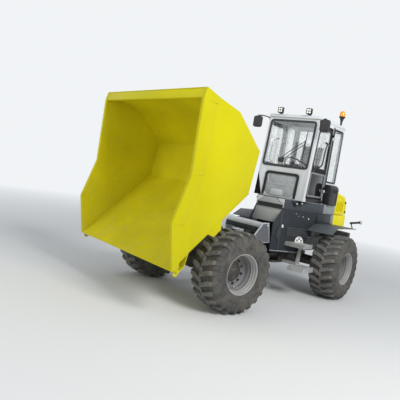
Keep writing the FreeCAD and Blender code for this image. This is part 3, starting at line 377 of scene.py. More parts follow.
def tyre_rubber(name, dark, worn, earth):
    """Matt rubber, scuffed grey, with dried earth on it in patches."""
    finish, tree, shader = new_finish(name, worn, 0.78)
    shader.inputs["Specular IOR Level"].default_value = 0.25
    spot = place_nodes(tree)
    grey = ranged(tree, noise(tree, spot, 14.0, 8.0, 0.7), 0.35, 0.7)
    dusty = ranged(tree, noise(tree, spot, 5.0, 10.0, 0.75), 0.42, 0.66, 0.0, 0.8)
    tree.links.new(mixed(tree, dusty, mixed(tree, grey, dark, worn), earth), shader.inputs["Base Color"])
    bumped(tree, shader, noise(tree, spot, 120.0, 6.0, 0.7), 0.3, 0.0015)
    return finish


def polished_chrome(name):
    finish, tree, shader = new_finish(name, (0.72, 0.73, 0.74), 0.12, 1.0)
    spot = place_nodes(tree)
    tree.links.new(ranged(tree, noise(tree, spot, 60.0, 3.0), 0.3, 0.7, 0.08, 0.24),
                   shader.inputs["Roughness"])
    return finish


def cab_glass(name, colour, alpha):
    """Clear safety glass: it reflects at its surface, and its tint is faint."""
    finish, tree, shader = new_finish(name, colour, 0.03)
    shader.inputs["Transmission Weight"].default_value = 1.0
    shader.inputs["IOR"].default_value = 1.45
    shader.inputs["Alpha"].default_value = alpha
    spot = place_nodes(tree)
    tree.links.new(ranged(tree, noise(tree, spot, 3.0, 6.0), 0.35, 0.75, 0.02, 0.10),
                   shader.inputs["Roughness"])
    return finish


def lens(name, colour, glow=0.0):
    """Moulded lens with fine vertical flutes."""
    finish, tree, shader = new_finish(name, colour, 0.18)
    shader.inputs["Coat Weight"].default_value = 0.6
    if glow:
        shader.inputs["Emission Color"].default_value = (*colour, 1)
        shader.inputs["Emission Strength"].default_value = glow
    spot = place_nodes(tree)
    flutes = tree.nodes.new("ShaderNodeTexWave")
    flutes.inputs["Scale"].default_value = 70
    tree.links.new(spot, flutes.inputs["Vector"])
    bumped(tree, shader, flutes.outputs["Fac"], 0.3, 0.001)
    return finish


def woven_fabric(name, colour):
    """Hard-wearing seat cloth: a fine weave and a little sheen."""
    finish, tree, shader = new_finish(name, colour, 0.9)
    shader.inputs["Sheen Weight"].default_value = 0.3
    spot = place_nodes(tree)
    weave = tree.nodes.new("ShaderNodeTexChecker")
    weave.inputs["Scale"].default_value = 500
    tree.links.new(spot, weave.inputs["Vector"])
    threads = mixed(tree, weave.outputs["Fac"], colour, tuple(channel * 1.7 for channel in colour))
    tree.links.new(threads, shader.inputs["Base Color"])
    bumped(tree, shader, weave.outputs["Fac"], 0.35, 0.0006)
    return finish


finishes.update({
    "axle_dark": cast_iron("axle_dark", (0.035, 0.035, 0.035)),
    "engine_iron": cast_iron("engine_iron", (0.06, 0.06, 0.06)),
    "hub_iron": cast_iron("hub_iron", (0.040, 0.038, 0.036)),
    "galvanised": galvanised("galvanised"),
    "rim_silver": paint("rim_silver", (0.40, 0.395, 0.385), 0.36, 0.45, 1.3, 0.0, 0.80),
    # The disc and inner steps of the rim: a darker copy of the rim paint, painted shade deep in the dish, with some
    # dust.
    "rim_inside_painted_shade": paint("rim_inside_painted_shade", (0.20, 0.202, 0.205), 0.5, 0.35, 1.3, 0.0, 0.80),
    "black_plastic": moulded_plastic("black_plastic", (0.016, 0.016, 0.017)),
    "rubber_seal": moulded_plastic("rubber_seal", (0.010, 0.010, 0.010), 0.75, 300.0),
    "seal_grey": moulded_plastic("seal_grey", (0.030, 0.031, 0.033), 0.7, 300.0),
    "grey_plastic": moulded_plastic("grey_plastic", (0.20, 0.21, 0.215), 0.6),
    "white_plastic": moulded_plastic("white_plastic", (0.70, 0.70, 0.68), 0.45),
    "red_plastic": moulded_plastic("red_plastic", (0.50, 0.02, 0.02), 0.4),
    "tyre_rubber": tyre_rubber("tyre_rubber", (0.040, 0.040, 0.040), (0.100, 0.099, 0.096), (0.155, 0.140, 0.112)),
    # The tread and lugs: a paler copy of the rubber, partly scuffing and dust and partly a painted highlight of sky
    # light on the tread.
    "tyre_tread_dust_and_highlight": tyre_rubber("tyre_tread_dust_and_highlight", (0.085, 0.085, 0.084), (0.19, 0.188, 0.183), (0.24, 0.225, 0.195)),
    "rod_chrome": polished_chrome("rod_chrome"),
    "glass": cab_glass("glass", (0.80, 0.86, 0.85), 0.30),
    "dark_glass": cab_glass("dark_glass", (0.10, 0.12, 0.12), 0.75),
    "mirror_glass": new_finish("mirror_glass", (0.75, 0.78, 0.80), 0.04, 1.0)[0],
    "beacon_amber": lens("beacon_amber", (0.95, 0.36, 0.01)),
    "clear_lens": lens("clear_lens", (0.82, 0.82, 0.74), 0.25),
    "red_lens": lens("red_lens", (0.55, 0.02, 0.01)),
    "panel_grey": moulded_plastic("panel_grey", (0.34, 0.36, 0.37), 0.5),
    "gloss_black": new_finish("gloss_black", (0.010, 0.011, 0.012), 0.08)[0],
    "seat_fabric": woven_fabric("seat_fabric", (0.045, 0.046, 0.050)),
})
print("finishes", len(finishes))

# %% [markdown]
# ## Modelling helpers
# An operator works on all that is selected, and the loaded nodes come in selected, so every
# helper first clears the selection. A primitive is added at its size and place, its edges are
# rounded with a Bevel modifier that is applied, and a finished piece has its place in its mesh.

# %% Primitives, modifiers and finishing
def clear():
    """Nothing selected and nothing active."""
    bpy.ops.object.select_all(action="DESELECT")
    bpy.context.view_layer.objects.active = None


def choose_only(piece):
    """Only this piece selected and active."""
    clear()
    piece.select_set(True)
    bpy.context.view_layer.objects.active = piece


def applied(piece):
    """The piece's place, turn and scale moved into its mesh."""
    choose_only(piece)
    bpy.ops.object.transform_apply(location=True, rotation=True, scale=True)
    return piece


def modify(piece, kind, **settings):
    """A modifier with these settings, applied at once."""
    choose_only(piece)
    modifier = piece.modifiers.new(kind.lower(), kind)
    for key, value in settings.items():
        setattr(modifier, key, value)
    bpy.ops.object.modifier_apply(modifier=modifier.name)
    return piece


def rounded(piece, width, segments=2, angle=35):
    """Edges sharper than the angle get a small round."""
    return modify(piece, "BEVEL", width=width, segments=segments, limit_method="ANGLE",
                  angle_limit=math.radians(angle), use_clamp_overlap=True)


def block(name, low, high, width=0.004, segments=2):
    """A box between two corners with rounded edges."""
    low, high = Vector(low), Vector(high)
    clear()
    bpy.ops.mesh.primitive_cube_add(size=1, location=(low + high) / 2)
    piece = bpy.context.object
    piece.name = name
    piece.scale = [abs(extent) for extent in high - low]
    applied(piece)
    return rounded(piece, width, segments) if width else piece


def bar(name, start, stop, radius, sides=24, width=0.0, tip=None):
    """A round bar or cone between two points, its rims rounded if width is given."""
    start, stop = Vector(start), Vector(stop)
    clear()
    place = (start + stop) / 2
    turn = (stop - start).to_track_quat("Z", "Y").to_euler()
    length = (stop - start).length
    bpy.ops.mesh.primitive_cone_add(vertices=sides, radius1=radius, radius2=radius if tip is None else tip,
                                    depth=length, location=place, rotation=turn)
    piece = bpy.context.object
    piece.name = name
    applied(piece)
    return rounded(piece, width, 2, 50) if width else piece


def loop_of(name, points, filled=True):
    """A flat loop: a circle with as many corners as there are points, each moved to its place."""
    clear()
    bpy.ops.mesh.primitive_circle_add(vertices=len(points), fill_type="NGON" if filled else "NOTHING")
    piece = bpy.context.object
    piece.name = name
    for vertex, point in zip(piece.data.vertices, points):
        vertex.co = point
    return piece


def outward(piece):
    """Doubles merged and normals turned out."""
    choose_only(piece)
    bpy.ops.object.mode_set(mode="EDIT")
    bpy.ops.mesh.select_all(action="SELECT")
    bpy.ops.mesh.remove_doubles(threshold=0.00005)
    bpy.ops.mesh.normals_make_consistent(inside=False)
    bpy.ops.object.mode_set(mode="OBJECT")
    return piece


def plate(name, points, depth, width=0.003, segments=2):
    """A flat outline extruded by the vector depth, with rounded edges."""
    piece = loop_of(name, points)
    choose_only(piece)
    bpy.ops.object.mode_set(mode="EDIT")
    bpy.ops.mesh.select_all(action="SELECT")
    bpy.ops.mesh.extrude_region_move(TRANSFORM_OT_translate={"value": depth})
    bpy.ops.object.mode_set(mode="OBJECT")
    outward(piece)
    return rounded(piece, width, segments) if width else piece


def spun(name, profile, centre, axis="Y", steps=64):
    """A closed profile of (along, radius) spun round an axis through the centre."""
    turn = {"X": (lambda a, r: (a, 0, r)), "Y": (lambda a, r: (0, a, r)), "Z": (lambda a, r: (r, 0, a))}[axis]
    centre = Vector(centre)
    piece = loop_of(name, [centre + Vector(turn(along, radius)) for along, radius in profile], False)
    direction = {"X": (1, 0, 0), "Y": (0, 1, 0), "Z": (0, 0, 1)}[axis]
    choose_only(piece)
    bpy.ops.object.mode_set(mode="EDIT")
    bpy.ops.mesh.select_all(action="SELECT")
    bpy.ops.mesh.spin(steps=steps, angle=2 * math.pi, center=centre, axis=direction)
    bpy.ops.object.mode_set(mode="OBJECT")
    return outward(piece)


def pipe(name, points, radius, closed=False, smooth=True, resolution=4):
    """A round pipe along points: a curve with a bevel, made a mesh."""
    clear()
    bpy.ops.curve.primitive_nurbs_path_add()
    piece = bpy.context.object
    piece.name = name
    piece.data.splines.clear()
    line = piece.data.splines.new("NURBS" if smooth else "POLY")
    line.points.add(len(points) - 1)
    for point, place in zip(line.points, points):
        point.co = (*place, 1)
    line.use_cyclic_u = closed
    if smooth:
        line.order_u = 3
        line.use_endpoint_u = not closed
        line.resolution_u = 8
    piece.data.bevel_depth = radius
    piece.data.bevel_resolution = resolution
    piece.data.use_fill_caps = True
    choose_only(piece)
    bpy.ops.object.convert(target="MESH")
    return outward(applied(bpy.context.object))


def joined(name, pieces):
    """Pieces joined into one object."""
    clear()
    for piece in pieces:
        piece.select_set(True)
    bpy.context.view_layer.objects.active = pieces[0]
    if len(pieces) > 1:
        bpy.ops.object.join()
    piece = bpy.context.object
    piece.name = name
    return piece


def copied(piece, name, matrix):
    """A copy with its own mesh, carried over by a matrix."""
    choose_only(piece)
    bpy.ops.object.duplicate()
    copy = bpy.context.object
    copy.name = name
    copy.matrix_world = matrix @ copy.matrix_world
    applied(copy)
    if matrix.determinant() < 0:
        bpy.ops.object.mode_set(mode="EDIT")
        bpy.ops.mesh.select_all(action="SELECT")
        bpy.ops.mesh.flip_normals()
        bpy.ops.object.mode_set(mode="OBJECT")
    return copy


MIRROR = Matrix.Scale(-1, 4, (0, 1, 0))


def dressed(piece, body, finish, matrix=None, smooth=35, node=None):
    """The last step of every piece: carried to its frame, smoothed, painted and put on its body."""
    if matrix is not None:
        piece.matrix_world = matrix @ piece.matrix_world
        applied(piece)
    choose_only(piece)
    bpy.ops.object.shade_smooth_by_angle(angle=math.radians(smooth))
    piece.data.materials.clear()
    piece.data.materials.append(finishes[finish])
    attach(piece, body)
    if node:
        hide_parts(*([node] if isinstance(node, str) else node))
    return piece


def soft_corners(corners, radius, steps=4):
    """An outline with each corner replaced by a short curve."""
    points = []
    for i, corner in enumerate(corners):
        here = Vector(corner)
        before = Vector(corners[i - 1])
        after = Vector(corners[(i + 1) % len(corners)])
        start = here + (before - here).normalized() * radius
        stop = here + (after - here).normalized() * radius
        for k in range(steps + 1):
            share = k / steps
            points.append(start * (1 - share) ** 2 + here * 2 * share * (1 - share) + stop * share ** 2)
    return points


def grown(corners, amount):
    """A flat outline moved outwards by amount all round, or inwards if it is below zero."""
    result = []
    for i, corner in enumerate(corners):
        here = Vector(corner)
        back = (Vector(corners[i - 1]) - here).normalized()
        on = (Vector(corners[(i + 1) % len(corners)]) - here).normalized()
        half = back.angle(on) / 2
        result.append(here - (back + on).normalized() * amount / math.sin(half))
    return result


def ring_plate(name, outer, inner, depth, width=0.002):
    """A flat frame between two loops with equally many corners, extruded by the vector depth."""
    piece = joined(name, [loop_of(name, outer, False), loop_of(name, inner, False)])
    choose_only(piece)
    bpy.ops.object.mode_set(mode="EDIT")
    bpy.ops.mesh.select_all(action="SELECT")
    bpy.ops.mesh.bridge_edge_loops()
    bpy.ops.mesh.select_all(action="SELECT")
    bpy.ops.mesh.extrude_region_move(TRANSFORM_OT_translate={"value": depth})
    bpy.ops.object.mode_set(mode="OBJECT")
    outward(piece)
    return rounded(piece, width, 2, 50) if width else piece


def seal(name, corners, inside, outside, depth, radius=0.05):
    """A rubber or plastic frame round a window with these corners."""
    return ring_plate(name, soft_corners(grown(corners, outside), radius + outside),
                      soft_corners(grown(corners, -inside), radius - inside), depth, 0.003)


def both_sides(piece, name, body, finish, node=None, smooth=35, base=REAR):
    """A piece modelled on the left side of its frame, and its mirror image on the right."""
    for side, sign in SIDES:
        dressed(copied(piece, f"{name}_{side}", base if sign > 0 else base @ MIRROR), body.format(side),
                finish, None, smooth, node.format(side) if node else None)
    bpy.data.objects.remove(piece)


body_of_node = {node: body for body, members in frame["record"]["behaviour"]["bodies"].items()
                for node in members}
slot_of_node = {part["node"]: part["material_slot"] for part in frame["record"]["subparts"]}


def merged_copy(node, name):
    """A copy of a CAD node with its triangles merged into faces."""
    choose_only(nodes[node])
    bpy.ops.object.duplicate()
    piece = bpy.context.object
    bpy.ops.object.parent_clear(type="CLEAR_KEEP_TRANSFORM")
    for key in list(piece.keys()):
        if key.startswith("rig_"):
            del piece[key]
    piece.name = name
    bpy.ops.mesh.customdata_custom_splitnormals_clear()
    bpy.ops.object.mode_set(mode="EDIT")
    bpy.ops.mesh.select_all(action="SELECT")
    bpy.ops.mesh.remove_doubles(threshold=0.00002)
    bpy.ops.mesh.dissolve_limited(angle_limit=math.radians(1.5))
    bpy.ops.object.mode_set(mode="OBJECT")
    return piece


def softened(node, width, segments=2, angle=35, finish=None):
    """A CAD node's own shape with the small rounds of a real plate or moulding."""
    piece = merged_copy(node, f"{node}_rounded")
    rounded(piece, width, segments, angle)
    slot = slot_of_node[node]
    return dressed(piece, body_of_node[node], finish or slot, None, 35, node)


# %% [markdown]
# ## Every node gets its finish
# The CAD nodes that keep their shape are painted here. Most folded and welded pieces are then
# replaced by a copy of themselves with rounded edges, because a real sheet or plate has no
# knife edge, and a round catches a line of light.

# %% Finishes of the nodes that stay
SLOT_FINISH = {"mid_grey": "cowl_grey", "tyre_rubber": "tyre_rubber"}
for name, part in nodes.items():
    finish = SLOT_FINISH.get(slot_of_node[name], slot_of_node[name])
    if name == "gantry":
        finish = "gantry_grey"
    part.data.materials.clear()
    part.data.materials.append(finishes[finish])

# %% Rounded copies of plates, panels and mouldings
ROUNDS = (("skip_tub", 0.003), ("skip_rim_left", 0.012), ("skip_rim_right", 0.012), ("skip_rim_rear", 0.010),
          ("skip_hinge", 0.003), ("cab_roof", 0.022), ("cab_frame", 0.006), ("dashboard", 0.020),
          ("body_band", 0.006), ("side_panel_left", 0.004), ("side_panel_right", 0.004),
          ("cowl_panel", 0.004), ("cowl_cap", 0.008), ("engine_hood", 0.008), ("rear_panel", 0.005),
          ("gantry", 0.004), ("rear_guard", 0.012), ("towing_jaw", 0.004), ("storage_box_left", 0.016),
          ("storage_box_right", 0.016), ("wing_left", 0.003), ("wing_right", 0.003))
# body_band takes the lighter copy of the slate paint: painted light on the lit band under the cab.
SHADES = {"gantry": "gantry_grey", "cowl_panel": "cowl_grey", "cowl_cap": "cap_grey", "body_band": "slate_painted_lit",
          "wing_left": "wing_grey", "wing_right": "wing_grey"}
rounded_nodes = {node: softened(node, width, 2, 35, SHADES.get(node)) for node, width in ROUNDS}
print("rounded", len(rounded_nodes), "nodes")

# %% [markdown]
# ## Wheels
# A dumper tyre is a smooth, bulging carcass with tall lugs that start past the middle of the
# tread and run out over the shoulder, so that mud is pushed out sideways. The carcass is a
# profile spun round the axle. One lug is made by extruding its end face along a bent path,
# and is then copied round the tyre on both sides, half a pitch apart.

# %% Sweeping a cross-section
def swept(name, sections):
    """The first section is filled, extruded once for every next one, and its corners moved there."""
    piece = loop_of(name, sections[0])
    count = len(sections[0])
    for section in sections[1:]:
        choose_only(piece)
        if len(piece.data.vertices) == count:
            for face in piece.data.polygons:
                face.select = True
        bpy.ops.object.mode_set(mode="EDIT")
        bpy.ops.mesh.extrude_region_move(TRANSFORM_OT_translate={"value": (0, 0, 0.001)})
        bpy.ops.object.mode_set(mode="OBJECT")
        moved = [vertex for vertex in piece.data.vertices if vertex.select]
        for vertex, place in zip(sorted(moved, key=lambda v: v.index), section):
            vertex.co = place
    return outward(piece)


# %% Tyre carcass
TYRE_OUTSIDE = ((0.217, 0.2862), (0.226, 0.296), (0.236, 0.301), (0.243, 0.312), (0.240, 0.320),
                (0.246, 0.345), (0.2500, 0.385), (0.2535, 0.389), (0.2535, 0.394), (0.2505, 0.398),
                (0.2500, 0.430), (0.246, 0.470), (0.238, 0.505), (0.225, 0.530), (0.200, 0.545),
                (0.150, 0.551), (0.080, 0.5535), (0.0, 0.5545))
TYRE_INSIDE = ((0.196, 0.2862), (0.205, 0.33), (0.215, 0.42), (0.196, 0.495), (0.10, 0.515))
half = [*TYRE_OUTSIDE]
profile = [*half, *[(-along, radius) for along, radius in reversed(half[:-1])],
           *[(-along, radius) for along, radius in TYRE_INSIDE], *reversed(TYRE_INSIDE)]
carcass = spun("tyre_carcass", profile, (0, 0, 0), "Y", 96)
print("carcass faces", len(carcass.data.polygons))

# %% One lug, and the two rows of lugs
LUGS = 24
LUG_SLANT = math.tan(math.radians(28))
LUG_PATH = ((-0.018, 0.5845, 0.540, 0.033, 0.042), (0.030, 0.5848, 0.540, 0.032, 0.042),
            (0.090, 0.5845, 0.538, 0.031, 0.041), (0.150, 0.5840, 0.534, 0.030, 0.039),
            (0.192, 0.5810, 0.522, 0.029, 0.037), (0.222, 0.5600, 0.500, 0.028, 0.036),
            (0.240, 0.5250, 0.480, 0.026, 0.034), (0.2505, 0.4840, 0.455, 0.022, 0.030),
            (0.2525, 0.4420, 0.425, 0.015, 0.023))


def on_tread(forward, along, radius):
    """A point of the unrolled tread, rolled up round the axle."""
    turn = forward / 0.56
    return Vector((radius * math.sin(turn), along, radius * math.cos(turn)))


sections = []
for along, top, base, half_top, half_base in LUG_PATH:
    forward = 0.052 - along * LUG_SLANT + 1.0 * along ** 2
    sections.append([on_tread(forward - half_base, along, base), on_tread(forward - half_top, along, top),
                     on_tread(forward + half_top, along, top), on_tread(forward + half_base, along, base)])
lug = rounded(swept("lug", sections), 0.005, 2, 30)
lugs = []
for row, flip in ((0.0, Matrix.Identity(4)), (0.5, MIRROR)):
    for i in range(LUGS):
        turn = Matrix.Rotation(math.radians((i + row) * 360 / LUGS), 4, "Y")
        lugs.append(copied(lug, f"lug_{row}_{i}", turn @ flip))
tyre = joined("tyre", [carcass, *lugs])
bpy.data.objects.remove(lug)
print("tyre faces", len(tyre.data.polygons))

# %% [markdown]
# The rim is a deep dish: a curled flange, a bead seat, and steps that lead down to a disc set
# well inside. The disc has a ring of ten nuts on studs, and the dark cover of the hub's
# reduction gear shows through the hole in its middle. All of it is symmetrical about the
# axle, so it is spun. One nut is modelled and repeated round its circle.

# %% Rim, hub and nuts
RIM = ((0.222, 0.2965), (0.227, 0.298), (0.232, 0.295), (0.232, 0.288), (0.227, 0.281), (0.214, 0.2755),
       (0.196, 0.2735), (0.190, 0.2660), (0.184, 0.2625), (0.156, 0.2600), (0.149, 0.2520), (0.143, 0.2485),
       (0.114, 0.2460), (0.107, 0.2380), (0.101, 0.2345), (0.066, 0.2330), (0.048, 0.2270), (0.037, 0.2160),
       (0.035, 0.2090), (0.030, 0.2060), (0.030, 0.1400), (0.014, 0.1400), (0.014, 0.2200), (0.034, 0.2500),
       (-0.215, 0.2720), (-0.232, 0.2860), (-0.232, 0.2960), (-0.227, 0.298), (-0.222, 0.2965),
       (-0.219, 0.2835), (0.219, 0.2835))
rim = spun("rim", RIM, (0, 0, 0), "Y", 96)
STUDS = 10
nuts = []
for i in range(STUDS):
    turn = math.radians(i * 360 / STUDS + 8)
    spot = Vector((0.1675 * math.sin(turn), 0, 0.1675 * math.cos(turn)))
    nuts.append(bar(f"washer_{i}", spot + Vector((0, 0.029, 0)), spot + Vector((0, 0.034, 0)), 0.0195, 20, 0.001))
    nuts.append(bar(f"nut_{i}", spot + Vector((0, 0.033, 0)), spot + Vector((0, 0.054, 0)), 0.0160, 6, 0.002))
    nuts.append(bar(f"stud_{i}", spot + Vector((0, 0.052, 0)), spot + Vector((0, 0.064, 0)), 0.0085, 12, 0.001))
nuts = joined("wheel_nuts", nuts)
valve = joined("valve", [pipe("stem", [(-0.03, 0.052, 0.2290), (-0.03, 0.085, 0.2260), (-0.03, 0.118, 0.2180)], 0.006),
                         block("clamp", (-0.048, 0.050, 0.213), (-0.012, 0.066, 0.230), 0.003)])
valve.matrix_world = Matrix.Rotation(math.radians(200), 4, "Y")
applied(valve)
HUB = ((-0.199, 0.0), (-0.199, 0.118), (-0.030, 0.118), (-0.030, 0.194), (0.0138, 0.194), (0.0138, 0.135),
       (0.040, 0.135), (0.050, 0.1270), (0.052, 0.1190), (0.052, 0.0620), (0.060, 0.0600), (0.062, 0.0540),
       (0.062, 0.0))
hub = spun("hub", HUB, (0, 0, 0), "Y", 64)
bolts = []
for i in range(12):
    turn = math.radians(i * 30 + 12)
    spot = Vector((0.104 * math.sin(turn), 0, 0.104 * math.cos(turn)))
    bolts.append(bar(f"cover_bolt_{i}", spot + Vector((0, 0.050, 0)), spot + Vector((0, 0.059, 0)), 0.0085, 6))
hub = joined("hub", [hub, *bolts])
print("rim faces", len(rim.data.polygons), "hub faces", len(hub.data.polygons))

# %% Four dressed wheels
WHEELS = (("front_left", FRONT, 1.35, 1), ("front_right", FRONT, 1.35, -1), ("rear_left", REAR, -1.4, 1),
          ("rear_right", REAR, -1.4, -1))
for where, base, along, side in WHEELS:
    place = base @ Matrix.Translation((along, side * 0.985, AXLE_Z))
    turned = place if side > 0 else place @ MIRROR
    body = f"wheel_{where}"
    lugged = dressed(copied(tyre, f"lugged_tyre_{where}", place), body, "tyre_rubber", node=f"tyre_{where}")
    # The tread and lug faces past the shoulder get the paler rubber: scuffing and dust, and partly a painted highlight.
    lugged.data.materials.append(finishes["tyre_tread_dust_and_highlight"])
    for face in lugged.data.polygons:
        spot = place.inverted() @ face.center
        face.material_index = 1 if math.hypot(spot.x, spot.z) > 0.559 - 0.12 * max(0, abs(spot.y) - 0.12) else 0
    dished = dressed(copied(rim, f"dished_rim_{where}", turned), body, "rim_silver", node=f"rim_{where}")
    # Faces deep in the dish get the darker copy of the rim paint, as painted shade.
    dished.data.materials.append(finishes["rim_inside_painted_shade"])
    for face in dished.data.polygons:
        face.material_index = 1 if abs((turned.inverted() @ face.center).y) < 0.150 else 0
    dressed(copied(nuts, f"wheel_nuts_{where}", turned), body, "hub_iron")
    dressed(copied(valve, f"wheel_valve_{where}", turned), body, "galvanised")
    dressed(copied(hub, f"wheel_hub_{where}", turned), body, "hub_iron")
for part in (tyre, rim, nuts, valve, hub):
    bpy.data.objects.remove(part)

# %% [markdown]
# ## Skip
# The inside of a skip is scratched and dusty, and its paint is a more ochre copy toned as painted
# shade, so the faces that look inwards get a finish of their own. Beads of weld run across the
# boxed rim at each of its bends, and the spout has an ear with a hole for a chain at both ends.

# %% Inner faces of the skip
SKIP_BACK = SKIP.inverted()
MIDDLE_OF_SKIP = Vector((-0.45, 0, 1.0))


def paint_inner_faces(piece, finish):
    """The second finish goes on the faces that look towards the middle of the skip."""
    piece.data.materials.append(finishes[finish])
    turn = SKIP_BACK.to_3x3()
    count = 0
    for face in piece.data.polygons:
        centre = SKIP_BACK @ face.center
        if (turn @ face.normal).dot(MIDDLE_OF_SKIP - centre) > 0.12 and abs(centre.y) < 1.2025:
            face.material_index = 1
            count += 1
    return count


# The inward faces get the copy of the yellow that carries the painted shade.
print("inner faces", paint_inner_faces(rounded_nodes["skip_tub"], "skip_inside_painted_shade"))

# %% Weld seams, ears and the rim's open ends
RIM_LINE = ((-1.475, 1.380), (-1.340, 1.372), (-0.418, 1.105), (0.205, 1.118), (0.741, 0.846))
FOLD_LINE = ((-1.475, 1.135), (-1.385, 1.112), (-0.520, 0.890), (0.160, 0.890), (0.685, 0.730))
beads = []
for i in (1, 2, 3):
    (rx, rz), (fx, fz) = RIM_LINE[i], FOLD_LINE[i]
    beads.append(pipe(f"bead_{i}", [(rx, 1.2465, rz), ((rx + fx) / 2, 1.2345, (rz + fz) / 2), (fx, 1.2175, fz)],
                      0.0035))
beads.append(pipe("floor_bead", [(-0.60, 1.2135, 0.060), (0.05, 1.2135, 0.442), (0.735, 1.2135, 0.848)], 0.004,
                  smooth=False))
both_sides(joined("weld_beads", beads), "weld_beads", "skip", "skip_yellow", base=SKIP)

ear = ring_plate("spout_ear", soft_corners([(0.690, 1.213, 0.700), (0.700, 1.213, 0.780), (0.775, 1.213, 0.800),
                                            (0.790, 1.213, 0.735)], 0.02, 5),
                 [Vector((0.742 + 0.014 * math.cos(math.radians(225 - i * 15)), 1.213,
                          0.757 + 0.014 * math.sin(math.radians(225 - i * 15)))) for i in range(24)],
                 (0, 0.012, 0), 0.002)
both_sides(ear, "spout_ear", "skip", "skip_yellow", base=SKIP)

end_cap = seal("rim_end", [(0.700, 1.2160, 0.752), (0.700, 1.2400, 0.752), (0.7405, 1.2470, 0.840),
                           (0.7405, 1.2160, 0.840)], 0.003, 0.001, (0.006, 0, 0.001), 0.004)
both_sides(end_cap, "rim_end", "skip", "skip_yellow", base=SKIP)
print("skip details done")

# %% [markdown]
# ## Cab
# The cab is a welded frame of square tubes with flat panes. Each pane sits in a black rubber
# seal, which is what the eye reads as the window's edge. The front wall leans back, so its
# pieces are modelled on a wall of their own: x out of the wall, y to the left, z up it.

# %% Seals round the windows of the front wall
WALL = REAR @ Matrix.Translation((-0.640, 0, 1.680)) @ Matrix.Rotation(math.radians(-4.574), 4, "Y")


def wall_window(low_y, high_y, low_z, high_z):
    """Corners of an upright window of the front wall."""
    return [(-0.002, low_y, low_z), (-0.002, high_y, low_z), (-0.002, high_y, high_z), (-0.002, low_y, high_z)]


def arch(half, low, high, radius):
    """Three sides of a window of the front wall, open at the bottom."""
    corners = wall_window(-half, half, low, high)
    return [Vector(corners[1]), *soft_corners(corners, radius)[10:20], Vector(corners[0])]


windscreen_seal = seal("windscreen_seal", wall_window(-0.46, 0.46, 0.590, 1.445), 0.018, 0.020, (0.012, 0, 0), 0.05)
dressed(windscreen_seal, "rear", "seal_grey", WALL)
lower_seal = plate("lower_window_seal", [*arch(0.354, 0.022, 0.474, 0.07), *reversed(arch(0.310, 0.022, 0.430, 0.05))],
                   (0.016, 0, 0), 0.003)
dressed(lower_seal, "rear", "rubber_seal", WALL)

# %% Grey moulded panel in the lower window
back = plate("lower_panel", soft_corners([(-0.009, -0.315, 0.026), (-0.009, 0.315, 0.026), (-0.009, 0.315, 0.435),
                                          (-0.009, -0.315, 0.435)], 0.03), (0.006, 0, 0), 0.003)
shoulder = plate("lower_panel_shoulder", soft_corners(
    [(-0.004, -0.295, 0.300), (-0.004, -0.225, 0.250), (-0.004, 0.225, 0.250), (-0.004, 0.295, 0.300),
     (-0.004, 0.280, 0.032), (-0.004, -0.280, 0.032)], 0.045), (0.006, 0, 0), 0.004, 3)
panel = joined("lower_panel", [back, shoulder])
dressed(panel, "rear", "panel_grey", WALL)
line = pipe("lower_panel_line", [(0.001, -0.300, 0.400), (0.003, -0.285, 0.290), (0.003, -0.215, 0.238),
                                 (0.003, 0.215, 0.238), (0.003, 0.285, 0.290), (0.001, 0.300, 0.400)], 0.006)
foot = plate("lower_panel_foot", soft_corners([(0.001, -0.190, 0.030), (0.001, 0.095, 0.030), (0.001, 0.070, 0.150),
                                               (0.001, -0.165, 0.150)], 0.035), (0.008, 0, 0), 0.004, 3)
dressed(joined("lower_panel_foot", [line, foot]), "rear", "gantry_grey", WALL)

# %% Black corner plate at the lower right of the front wall
corner = plate("corner_plate", [(0.001, -0.517, 0.430), (0.001, -0.517, 0.004), (0.001, -0.368, 0.004)], (0.004, 0, 0), 0.001)
dressed(corner, "rear", "door_black", WALL)

# %% Wiper: a motor cover, two parallel arms and the blade
wiper = [block("wiper_motor", (0.012, -0.130, 0.655), (0.060, -0.020, 0.735), 0.012, 3),
         bar("wiper_post", (0.012, -0.050, 0.740), (0.055, -0.050, 0.740), 0.016, 20, 0.003),
         pipe("wiper_arm", [(0.050, -0.060, 0.735), (0.058, 0.10, 0.905), (0.040, 0.335, 1.070)], 0.0065),
         pipe("wiper_arm_link", [(0.050, -0.015, 0.705), (0.058, 0.14, 0.865), (0.040, 0.345, 1.020)], 0.0065),
         block("wiper_holder", (0.026, 0.332, 0.985), (0.046, 0.352, 1.095), 0.004),
         block("wiper_blade", (0.010, 0.339, 0.735), (0.028, 0.346, 1.290), 0.003),
         block("wiper_spine", (0.024, 0.336, 0.850), (0.032, 0.349, 1.210), 0.003)]
dressed(joined("wiper", wiper), "rear", "black_plastic", WALL)
print("front wall done")

# %% [markdown]
# Each door is black below and glass above. Its lower half is a glossy panel in a frame, and a
# grab rail runs up inside its front edge. The trim on the rear post is black too, so that the
# doors and the rear side windows read as one dark band between the silver posts.

# %% Door panels, seals, handles and grab rails
DOOR_WINDOW = [(-0.770, 0.517, 2.310), (-0.850, 0.517, 3.050), (-1.340, 0.517, 3.050), (-1.340, 0.517, 2.310)]
both_sides(seal("door_seal", DOOR_WINDOW, 0.014, 0.016, (0, 0.009, 0), 0.045), "door_seal", "door_{}",
           "rubber_seal")
LOWER_DOOR = [(-0.755, 0.5178, 1.800), (-0.782, 0.5178, 2.215), (-1.345, 0.5178, 2.215), (-1.345, 0.5178, 1.800)]
both_sides(seal("door_frame", LOWER_DOOR, 0.012, 0.018, (0, 0.007, 0), 0.03), "door_frame", "door_{}",
           "grey_plastic")
both_sides(plate("door_pane", soft_corners(grown(LOWER_DOOR, -0.010), 0.025), (0, 0.003, 0), 0.001),
           "door_pane", "door_{}", "gloss_black")
lock = joined("door_lock", [block("lock_plate", (-0.885, 0.517, 2.236), (-0.790, 0.527, 2.288), 0.006, 3),
                            pipe("lock_pull", [(-0.875, 0.522, 2.262), (-0.872, 0.548, 2.262),
                                               (-0.806, 0.548, 2.262), (-0.803, 0.522, 2.262)], 0.008)])
both_sides(lock, "door_lock", "door_{}", "black_plastic")
